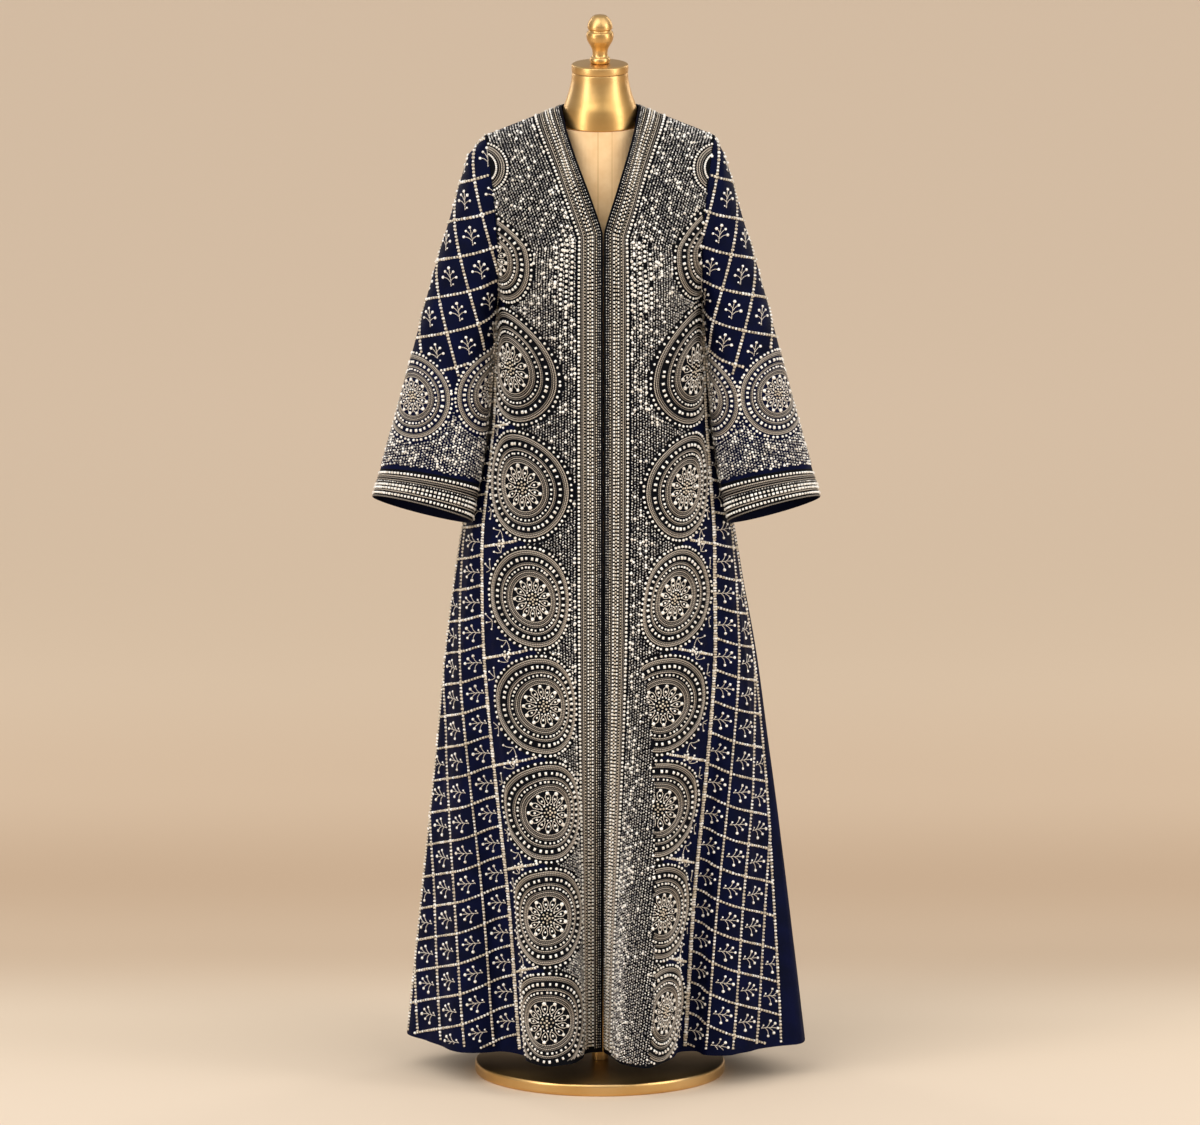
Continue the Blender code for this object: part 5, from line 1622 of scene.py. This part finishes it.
def lay_sleeve(cloth):
    """Embroidery of a sleeve: lattice above, a ring of medallions, and the beaded field."""
    work = Work(cloth)
    side, low, high = cloth.side, cloth.chart.min(axis=(0, 1)), cloth.chart.max(axis=(0, 1))
    for a, b in SLEEVE_MEDALLIONS[side]:
        lay_medallion(work, lambda out, down, a=a, b=b: (a + out, b + down,
                                                         everywhere(out, down)),
                      SLEEVE_MEDALLION_R)

    def clear_of_medallions(first, second, reach):
        away = [np.hypot(first - a, second - b) for a, b in SLEEVE_MEDALLIONS[side]]
        return np.min(away, axis=0) > SLEEVE_MEDALLION_R * reach

    def above(reach):
        return lambda a, b: ((b < SLEEVE_FIELD_TOP - SLEEVE_ABOVE_FIELD)
                             & clear_of_medallions(a, b, reach))

    def near(p):
        return ((p > low - SLEEVE_EDGE) & (p < high + SLEEVE_EDGE)).all(axis=-1)

    steep = np.array((sin(SLEEVE_STEEP), cos(SLEEVE_STEEP)))
    rising = np.array((cos(SLEEVE_RISING), -sin(SLEEVE_RISING)))
    across, along = np.array(SLEEVE_LATTICE) / cos(SLEEVE_STEEP - SLEEVE_RISING)
    lines, centres = [], []
    for i in SLEEVE_LINES:
        for way, step in ((steep, rising * across), (rising, steep * along)):
            start = SLEEVE_NODE[side] + step * i
            line = line_path(start - way * SLEEVE_REACH, start + way * SLEEVE_REACH)
            line = line[near(line)]
            lines += [line] if len(line) > 1 else []
        for j in SLEEVE_LINES:
            centre = (SLEEVE_NODE[side] + rising * across * (i + 0.5)
                      + steep * along * (j + 0.5))
            centres += [centre] if near(centre) and centre[1] < SLEEVE_FIELD_TOP else []
    lay_beaded_cord(work, lines, LATTICE_CORD, LATTICE_PITCH, above(1.06))
    lay_sprigs(work, centres, SLEEVE_SPRIG_TURN, 1.0, above(1.12))

    around, down, _ = field_spots((low[0], SLEEVE_FIELD_TOP), high, 0)
    rows, _, inside = cloth.find(around, down)
    inside &= rows < len(cloth.points) - SLEEVE_FIELD_ENDS
    inside &= clear_of_medallions(around, down, 1.07)
    around, down = around[inside], down[inside]
    count = len(around)
    around = around + CHANCE.normal(0.0, SLEEVE_JITTER, count)
    down = down + CHANCE.normal(0.0, SLEEVE_JITTER, count)
    large = CHANCE.random(count) < ROUND_SLEEVE
    small = ~large
    work.beads(around[large], down[large],
               varied(SLEEVE_ROUND, 0.82, 1.1, large.sum()), "round", IVORY)
    work.beads(around[small], down[small],
               varied(SLEEVE_SEED, 0.80, 1.12, small.sum()), "seed", SILVER,
               CHANCE.uniform(0.0, tau, small.sum()))
    return work


# ---- materials ----
def linear(code):
    """Linear colour, with full opacity, from a hex code."""
    parts = np.array([int(code[i:i + 2], 16) for i in (1, 3, 5)]) / 255.0
    parts = np.where(parts <= 0.04045, parts / 12.92, ((parts + 0.055) / 1.055) ** 2.4)
    return (*parts.tolist(), 1.0)


def add(tree, kind, *first, links=(), stops=(), **settings):
    """Add a node.  What it is given goes to its own fields or its sockets.

    first fills its sockets in order, links names more of them, and settings go to
    its fields or, by name, to its sockets; another node's socket is linked to.
    stops are the places and hex colours of a colour ramp.
    """
    node = tree.nodes.new("ShaderNode" + kind)
    own = [name for name in settings if hasattr(node, name)]
    for name in own:
        setattr(node, name, settings[name])
    named = [(name.replace("_", " "), settings[name]) for name in settings if name not in own]
    for socket, value in (*enumerate(first), *links, *named):
        if isinstance(value, bpy.types.NodeSocket):
            tree.links.new(value, node.inputs[socket])
        else:
            node.inputs[socket].default_value = value
    for _ in stops[2:]:
        node.color_ramp.elements.new(0.5)
    for number, (place, code) in enumerate(stops):
        element = node.color_ramp.elements[number]
        element.position, element.color = place, linear(code)
    return node


def new_material(name):
    """An empty material and its tree of nodes."""
    material = bpy.data.materials.new(name)
    material.use_nodes = True
    material.node_tree.nodes.clear()
    return material, material.node_tree


def surfaced(material, **values):
    """The material with a Principled shader that has these values and sources."""
    shader = add(material.node_tree, "BsdfPrincipled", **values)
    add(material.node_tree, "OutputMaterial", shader.outputs["BSDF"])
    return material


def slubbed(tree, *shades):
    """Colour of silk yarn that takes the dye a little unevenly, one for each pair."""
    cloth = add(tree, "UVMap", uv_map="cloth").outputs["UV"]
    slub = add(tree, "TexNoise", cloth, Scale=26.0, Detail=3.0).outputs["Fac"]
    return [add(tree, "ValToRGB", slub, stops=((0.30, deep), (0.72, light))).outputs["Color"]
            for deep, light in shades]


def calendered(material, colour):
    """Calendered twill: diagonal ribs over the cloth map, and a breath of sheen.

    The real rib is about 0.4 mm; it is drawn 1 mm wide so that it still shows.
    """
    tree = material.node_tree
    cloth = add(tree, "UVMap", uv_map="cloth").outputs["UV"]
    turned = add(tree, "Mapping", cloth, Rotation=(0.0, 0.0, radians(58.0)))
    rib = add(tree, "TexWave", turned.outputs["Vector"], Scale=2000.0 / tau, Distortion=0.6,
              Detail=1.0)
    bump = add(tree, "Bump", Height=rib.outputs["Fac"], Strength=0.35, Distance=0.0003)
    return surfaced(material, Base_Color=colour, Normal=bump.outputs["Normal"],
                    Roughness=0.62, Sheen_Weight=0.01, Sheen_Roughness=0.40,
                    Sheen_Tint=linear("#3A4C9C"), Specular_IOR_Level=0.06)


def dyed_silk(name, shades):
    """Silk twill, piece-dyed and calendered: deep colour, a soft sheen on the folds."""
    material, tree = new_material(name)
    return calendered(material, slubbed(tree, shades)[0])


def shade_painted_silk():
    """Silk twill painted near black under the beading: painted shade between the beads, so
    they stand out, while the plain parts keep their navy."""
    material, tree = new_material("navy silk with painted shade under the beads")
    place = add(tree, "Attribute", attribute_name="medallion").outputs["Vector"]
    away, down, past = add(tree, "SeparateXYZ", place).outputs
    whole = add(tree, "Math", down, MEDALLION_PITCH / 2, -MEDALLION_PITCH / 2,
                operation="WRAP")
    both = add(tree, "CombineXYZ", away, whole.outputs["Value"]).outputs["Vector"]
    radius = add(tree, "VectorMath", both, operation="LENGTH").outputs["Value"]
    in_ring = add(tree, "MapRange", radius, MEDALLION_R * 1.02, MEDALLION_R * 1.045, 1.0, 0.0)
    in_field = add(tree, "MapRange", past, -0.001, 0.001, 1.0, 0.0)
    beaded = add(tree, "Math", in_ring.outputs["Result"], in_field.outputs["Result"],
                 operation="MAXIMUM").outputs["Value"]
    # the beaded parts take the painted shade, the plain parts their navy
    plain, painted_shade = slubbed(tree, (NAVY, NAVY_LIGHT), (SHADE_UNDER_BEADS, SHADE_UNDER_BEADS_PALE))
    colour = add(tree, "Mix", beaded, data_type="RGBA", links=((6, plain), (7, painted_shade)))
    return calendered(material, colour.outputs[2])


def pressed_glass(name, dull, usual, brightest):
    """Opaque glass, pressed and fire-polished: bright, with a small wet highlight."""
    material, tree = new_material(name)
    place = add(tree, "TexCoord").outputs["Object"]
    batch = add(tree, "TexNoise", place, Scale=230.0, Detail=1.0).outputs["Fac"]
    colour = add(tree, "ValToRGB", batch,
                 stops=((0.32, dull), (0.48, usual), (0.62, brightest)))
    return surfaced(material, Base_Color=colour.outputs["Color"], Roughness=0.28, IOR=1.52,
                    Coat_Weight=0.4, Coat_Roughness=0.12)


def silver_lined_glass():
    """Seed beads of clear glass with a silvered bore: noise paints a glint on some and shade on
    others, as their tilt would.
    """
    material, tree = new_material("silver-lined glass")
    place = add(tree, "TexCoord").outputs["Object"]
    painted_glint = add(tree, "TexNoise", place, Scale=300.0, Detail=1.0).outputs["Fac"]
    # painted glint and painted shade: dark, middling and near white beads by noise
    colour = add(tree, "ValToRGB", painted_glint,
                 stops=((0.34, "#55555C"), (0.50, "#ABA7A2"), (0.66, "#F2EEE6")))
    return surfaced(material, Base_Color=colour.outputs["Color"], Metallic=1.0,
                    Roughness=0.36)


def metallic_cord(name, shaded_valley, middle, lit_crest):
    """Plaited metallic rayon cord: slanting plaits, with painted shade in the gaps between them
    and a painted highlight on their crests.

    The real plait repeats every 1.5 mm; it is drawn at 2.6 mm so that it shows.
    """
    material, tree = new_material(name)
    place = add(tree, "UVMap", uv_map="cord").outputs["UV"]
    along, aside, _ = add(tree, "SeparateXYZ", place).outputs
    aside = add(tree, "Math", aside, operation="ABSOLUTE").outputs["Value"]
    slanted = add(tree, "Math", aside, 1.3, along, operation="MULTIPLY_ADD").outputs["Value"]
    turn = add(tree, "Math", slanted, tau / 0.0026, operation="MULTIPLY").outputs["Value"]
    plait = add(tree, "Math", turn, operation="SINE").outputs["Value"]
    share = add(tree, "MapRange", plait, -1.0, 1.0, 0.0, 1.0).outputs["Result"]
    # the plait's colour runs from painted shade in its gaps to a painted highlight on its crest
    colour = add(tree, "ValToRGB", share,
                 stops=((0.05, shaded_valley), (0.45, middle), (0.95, lit_crest)))
    bump = add(tree, "Bump", Height=share, Strength=0.7, Distance=0.0005)
    return surfaced(material, Base_Color=colour.outputs["Color"],
                    Normal=bump.outputs["Normal"], Roughness=0.42, Specular_IOR_Level=0.6,
                    Sheen_Weight=0.15)


def brushed_brass():
    """Turned brass, brushed round its axis and lacquered: bands of light run along it,
    fine rings break them up."""
    material, tree = new_material("brushed brass")
    place = add(tree, "TexCoord").outputs["Object"]
    rings = add(tree, "Mapping", place, Scale=(3.0, 3.0, 900.0)).outputs["Vector"]
    brush = add(tree, "TexNoise", rings, Scale=1.0, Detail=3.0).outputs["Fac"]
    tarnish = add(tree, "TexNoise", place, Scale=9.0, Detail=2.0).outputs["Fac"]
    colour = add(tree, "ValToRGB", tarnish, stops=((0.35, "#D4A968"), (0.65, "#E1BB80")))
    gloss = add(tree, "MapRange", brush, 0.3, 0.7, 0.31, 0.42)
    bump = add(tree, "Bump", Height=brush, Strength=0.06, Distance=0.0002)
    return surfaced(material, Base_Color=colour.outputs["Color"], Metallic=1.0,
                    Roughness=gloss.outputs["Result"], Normal=bump.outputs["Normal"])


def covered_jersey():
    """Cotton jersey drawn over the form: matt, with fine ribs that run up and down.

    The real ribs are 0.8 mm apart; they are drawn at 2 mm so that they show.  A wave
    texture's bands repeat 20 times in each tau.  Two faint seams run down the front.
    """
    material, tree = new_material("tan cotton jersey")
    place = add(tree, "TexCoord").outputs["Object"]
    rib = add(tree, "TexWave", place, Scale=tau / 0.0020 / 20.0, Distortion=0.4,
              bands_direction="X").outputs["Fac"]
    pile = add(tree, "TexNoise", place, Scale=60.0, Detail=4.0).outputs["Fac"]
    base = add(tree, "ValToRGB", pile, stops=((0.30, "#E8C08C"), (0.70, "#F2CE9C")))
    across = add(tree, "SeparateXYZ", place).outputs["X"]
    seams = []
    for seam_x, reach in ((-0.003, 0.0011), (0.018, 0.0007)):
        away = add(tree, "Math", across, seam_x, operation="SUBTRACT").outputs["Value"]
        away = add(tree, "Math", away, operation="ABSOLUTE").outputs["Value"]
        seams.append(add(tree, "MapRange", away, 0.0, reach, 0.0, 1.0).outputs["Result"])
    clear = add(tree, "Math", *seams, operation="MINIMUM").outputs["Value"]
    colour = add(tree, "Mix", clear, data_type="RGBA",
                 links=((6, linear("#C79D66")), (7, base.outputs["Color"])))
    height = add(tree, "Math", rib, clear, operation="MULTIPLY").outputs["Value"]
    bump = add(tree, "Bump", Height=height, Strength=0.30, Distance=0.0004)
    return surfaced(material, Base_Color=colour.outputs[2], Normal=bump.outputs["Normal"],
                    Roughness=0.86, Sheen_Weight=0.25, Specular_IOR_Level=0.25)


def studio_floor():
    """Studio floor, matt: pale under the stand, a deeper sweep of painted shade behind it, then
    even.
    """
    material, tree = new_material("matt beige floor")
    place = add(tree, "TexCoord").outputs["Object"]
    behind = add(tree, "SeparateXYZ", place).outputs["Y"]
    share = add(tree, "MapRange", behind, -0.6, 5.4, 0.0, 1.0).outputs["Result"]
    # the darkest stops, one to two metres behind the stand, are painted shade
    colour = add(tree, "ValToRGB", share, stops=(
        (0.05, "#DDC9B2"), (0.16, "#DBC6AD"), (0.25, "#C2A98E"), (0.33, "#BA9F83"),
        (0.45, "#C5AC91"), (0.60, "#CAB399"), (1.00, "#D6BEA4")))
    colour.color_ramp.interpolation = "EASE"
    return surfaced(material, Base_Color=colour.outputs["Color"], Roughness=0.75,
                    Specular_IOR_Level=0.3)


NAVY, NAVY_LIGHT = "#02061D", "#040A2D"
# near black: painted shade for the cloth between and under the beads
SHADE_UNDER_BEADS, SHADE_UNDER_BEADS_PALE = "#030409", "#06080F"
SILK = dyed_silk("navy silk twill", (NAVY, NAVY_LIGHT))
LINING = dyed_silk("navy silk lining", ("#020414", "#040924"))
BAND_GROUND = dyed_silk("dark silk under cords", ("#040508", "#08090E"))
SHADE_PAINTED_SILK = shade_painted_silk()
GLASS = pressed_glass("pressed ivory glass", "#DDD3C4", "#F6F0E6", "#FFFDF8")
GOLD_GLASS = pressed_glass("pressed champagne glass", "#AC9D87", "#CFC0A8", "#E8DBC7")
SILVERED = silver_lined_glass()
LIGHT_CORD = metallic_cord("champagne metallic cord", "#3B342E", "#A09181", "#DACDBB")
DARK_CORD = metallic_cord("greige metallic cord", "#1C1916", "#62584D", "#978B7D")
STEM_THREAD = metallic_cord("ivory silk thread", "#8D8172", "#D2C5B3", "#F0E7DA")
BRASS = brushed_brass()
JERSEY = covered_jersey()


def lathe_profile(table, per_step=6):
    """The turned outline, finer: a cubic through its points that never overshoots them."""
    points = np.array(table, dtype=float)
    steps = np.linalg.norm(np.diff(points, axis=0), axis=1)
    along = np.concatenate(([0.0], np.cumsum(steps)))
    rates = np.diff(points, axis=0) / steps[:, None]
    same = rates[1:] * rates[:-1] > 0.0
    shared = np.where(same, 2.0 * rates[1:] * rates[:-1]
                      / np.where(same, rates[1:] + rates[:-1], 1.0), 0.0)
    slope = np.concatenate((rates[:1], shared, rates[-1:]))
    t = np.tile(np.linspace(0.0, 1.0, per_step, endpoint=False), len(steps))
    at = np.repeat(np.arange(len(steps)), per_step)
    span = steps[at][:, None]
    fine = hermite(t[:, None], points[at], points[at + 1], slope[at] * span,
                   slope[at + 1] * span)
    return np.concatenate((fine, points[-1:]))


def turn_on_lathe(name, table, steps, material):
    """A turned solid: the outline swept once round the upright axis, poles closed."""
    radius, height = lathe_profile(table)[1:-1, :, None].transpose(1, 0, 2)
    turn = np.arange(steps) * tau / steps
    rings = together(radius * np.cos(turn), radius * np.sin(turn), height)
    poles = [(0.0, 0.0, table[0][1]), (0.0, 0.0, table[-1][1])]
    points = np.concatenate((rings.reshape(-1, 3), poles))
    index = np.arange(radius.size * steps).reshape(-1, steps)
    nxt = np.roll(index, -1, axis=1)
    sides = together(index[:-1], nxt[:-1], nxt[1:], index[1:]).reshape(-1, 4)
    ends = np.concatenate((together(nxt[0], index[0], index.size),
                           together(index[-1], nxt[-1], index.size + 1)))
    mesh = new_mesh(name, points, [sides, ends])
    mesh.set_sharp_from_angle(angle=TURNED_SHARP)
    return show(mesh, (material,))


def form_top(across):
    """Plan half depth and height of the form's top at a distance from the centre."""
    inward = np.exp(-(np.abs(across) / FORM_NECK_SPREAD) ** 3)
    half_depth = FORM_RIDGE_HALF + (FORM_NECK_SEAT_R - FORM_RIDGE_HALF) * inward
    crown = FORM_SHOULDER_Z - FORM_SHOULDER_FALL * (np.abs(across) / FORM_FALL_X) ** 4
    return half_depth, crown, crown - FORM_EDGE_DROP * (1.0 - inward)


def form_half(depth_column, toward):
    """Front or back of the form: rows from the bottom up to the shoulder line."""
    turns = np.linspace(-pi / 2, pi / 2, FORM_FINE_COLUMNS + 1)[None, :]
    power = 2.0 / FORM_POWER
    reach = np.sign(turns) * np.abs(np.sin(turns)) ** power
    depth = np.clip(np.cos(turns), 0.0, 1.0) ** power
    depth[:, (0, -1)] = 0.0
    sections = np.array(FORM_SECTIONS)
    heights = np.linspace(sections[0, 0], sections[-1, 0], FORM_LOWER_ROWS)[:, None]
    half_width = smooth_through(sections[:, 0], sections[:, 1], heights)
    half_depth = smooth_through(sections[:, 0], sections[:, depth_column], heights)
    lower = together(reach * half_width, toward * depth * half_depth, heights)
    share = even_shares(FORM_UPPER_ROWS)[1:, None] ** FORM_ROWS_EASING
    side_x, chest = sections[-1, 1], sections[-1, depth_column]
    across = reach * (side_x + (FORM_SHOULDER_X - side_x) * np.sin(share * pi / 2))
    ridge, _, edge = form_top(across)
    fall = 1.0 - share ** FORM_CHEST_POWER
    rise = np.where(share < 1.0, np.minimum(ridge, depth * chest), ridge)
    out = np.where(depth > 0.0, rise * share + (depth * chest - rise * share) * fall, 0.0)
    height = UNDERARM_Z + (edge - UNDERARM_Z) * share
    return np.concatenate((lower, together(across, toward * out, height)))


def cover_form(name, material):
    """The limbless torso: front and back halves over one ridge, closed underneath."""
    front, back = form_half(2, -1.0), form_half(3, 1.0)
    ridge = front[-1].copy()
    ridge[:, 1] = 0.0
    ridge[1:-1, 2] = form_top(ridge[1:-1, 0])[1]
    middle = front[0].copy()
    middle[:, 1] = 0.0
    rows = np.concatenate((front, ridge[None], back[::-1], middle[None], front[:1]))
    count, columns = rows.shape[:2]
    mesh = new_mesh(name, rows.reshape(-1, 3), [strip_faces(count, columns)])
    merge_close(mesh)
    mesh.set_sharp_from_angle(angle=FORM_SHARP)
    return show(mesh, (material,))


def merge_close(mesh):
    """Join points that lie on each other, drop what has no area, and face it outwards."""
    builder = bmesh.new()
    builder.from_mesh(mesh)
    bmesh.ops.remove_doubles(builder, verts=builder.verts, dist=SAME_SPOT)
    bmesh.ops.dissolve_degenerate(builder, dist=SAME_SPOT, edges=builder.edges)
    bmesh.ops.recalc_face_normals(builder, faces=builder.faces)
    if builder.calc_volume(signed=True) < 0.0:
        bmesh.ops.reverse_faces(builder, faces=builder.faces)
    builder.to_mesh(mesh)
    builder.free()


# ---- the dress form ----
form = cover_form("form_torso_cover", JERSEY)
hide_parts("form_torso")
for name, node, table, steps in (("gold_neck", "form_neck", NECK_TURNING, 120),
                                 ("gold_cap", "neck_cap", CAP_TURNING, 120),
                                 ("turned_finial", "finial", FINIAL_TURNING, 80),
                                 ("stand_pole", "pole", POLE_TURNING, 64),
                                 ("stand_base", "base_disc", BASE_TURNING, 160)):
    turned = turn_on_lathe(name, table, steps, BRASS)
    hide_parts(node)

# ---- the cloak ----
BEAD_MATERIALS = (GLASS, SILVERED, GOLD_GLASS)
CORD_MATERIALS = (LIGHT_CORD, DARK_CORD, STEM_THREAD)


KINDS = {
    # kind: node, face, slot, embroidery
    "front": ("front", SHADE_PAINTED_SILK, "beaded_navy_cloth", lay_front),
    "gore": ("side_gore", SILK, "beaded_navy_cloth", lay_gore),
    "back": ("back", SILK, "navy_cloth", None),
    "band": ("front_band", BAND_GROUND, "braided_band_cloth", lay_band),
    "sleeve": ("sleeve", SILK, "beaded_navy_cloth", lay_sleeve),
    "cuff": ("cuff", BAND_GROUND, "braided_band_cloth", lay_cuff),
}
TUBES = ("sleeve", "cuff")
cloths = []
for word, side in (("right", -1), ("left", 1)):
    cut = (front_cloth(side), gore_cloth(side), back_cloth(side), band_cloth(side),
           *sleeve_and_cuff_cloth(side))
    cloths += [(kind, word, cloth) for kind, cloth in zip(KINDS, cut)]
for kind, word, cloth in cloths:
    node, face, slot, embroider = KINDS[kind]
    name = f"cloak_{kind}_{word}"
    thing = sew_cloth(name, cloth, face, LINING, kind in TUBES)
    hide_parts(f"{node}_{word}")
    if embroider is not None:
        for piece in embroider(cloth).join(name):
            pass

# ---- studio ----
AIM_Z = 0.7794  # height at which the camera looks
CAMERA_ANGLE = radians(11.5)
CAMERA_AWAY = 60.0
PICTURE_WIDTH = 1.8  # metres across the frame, in the plane of the pole
SENSOR = 36.0
LIGHTS_AIM = (0.0, 0.0, 0.8)
AIR_STRENGTH = 0.55


def lay_floor(half, cells=24):
    """A wide level floor as a square grid."""
    line = np.linspace(-half, half, cells + 1)
    across, along = np.meshgrid(line, line)
    points = together(across, along, 0.0).reshape(-1, 3)
    mesh = new_mesh("studio_floor", points, [strip_faces(cells + 1, cells + 1)[:, ::-1]])
    mesh.materials.append(studio_floor())
    put_in_scene("studio_floor", mesh)


def hang_softbox(name, place, size, watts):
    """A white rectangular light that faces the cloak, unseen by the camera itself."""
    lamp = bpy.data.lights.new(name, "AREA")
    lamp.shape = "RECTANGLE"
    lamp.size, lamp.size_y = size
    lamp.energy = watts
    thing = put_in_scene(name, lamp)
    thing.location = place
    toward = mathutils.Vector(LIGHTS_AIM) - mathutils.Vector(place)
    thing.rotation_euler = toward.to_track_quat("-Z", "Y").to_euler()
    thing.visible_camera = False


def hang_sun(name, strength, wide, turned, risen):
    """Even soft daylight, so many degrees wide, from a bearing off the front and a height."""
    lamp = bpy.data.lights.new(name, "SUN")
    lamp.energy = strength
    lamp.angle, turned, risen = np.radians((wide, turned, risen))
    thing = put_in_scene(name, lamp)
    place = mathutils.Vector((-sin(turned) * cos(risen), -cos(turned) * cos(risen),
                              sin(risen)))
    thing.rotation_euler = place.to_track_quat("Z", "Y").to_euler()


lay_floor(40.0)
hang_sun("soft_daylight_left", 1.30, 50.0, 38.0, 46.0)
hang_sun("soft_daylight_right", 0.80, 60.0, -52.0, 40.0)
hang_softbox("left_softbox", (-3.0, -2.2, 1.9), (0.9, 2.6), 42.0)
hang_softbox("right_softbox", (3.2, -1.6, 1.9), (0.9, 2.6), 38.0)
hang_softbox("back_left_strip", (-2.4, 2.8, 2.2), (0.7, 2.4), 18.0)
hang_softbox("back_right_strip", (2.4, 2.8, 2.2), (0.7, 2.4), 18.0)

world = bpy.data.worlds.new("studio_air")
world.use_nodes = True
air = world.node_tree.nodes["Background"]
way = add(world.node_tree, "TexCoord").outputs["Generated"]
risen = add(world.node_tree, "SeparateXYZ", way).outputs["Z"]
shade = add(world.node_tree, "ValToRGB", risen, stops=(
    (0.0, "#A3988B"), (0.16, "#CBC0B3"), (0.50, "#FBF8F4"), (1.0, "#FFFFFF")))
world.node_tree.links.new(shade.outputs["Color"], air.inputs["Color"])
air.inputs["Strength"].default_value = AIR_STRENGTH
bpy.context.scene.world = world
bpy.context.scene.view_settings.view_transform = "Standard"

lens = bpy.data.cameras.new("portrait_camera")
lens.sensor_width = SENSOR
lens.lens = SENSOR * CAMERA_AWAY / PICTURE_WIDTH
lens.clip_end = 300.0
camera = put_in_scene("portrait_camera", lens)
camera.location = (0.0, -CAMERA_AWAY * cos(CAMERA_ANGLE),
                   AIM_Z + CAMERA_AWAY * sin(CAMERA_ANGLE))
camera.rotation_euler = (pi / 2 - CAMERA_ANGLE, 0.0, 0.0)
bpy.context.scene.camera = camera
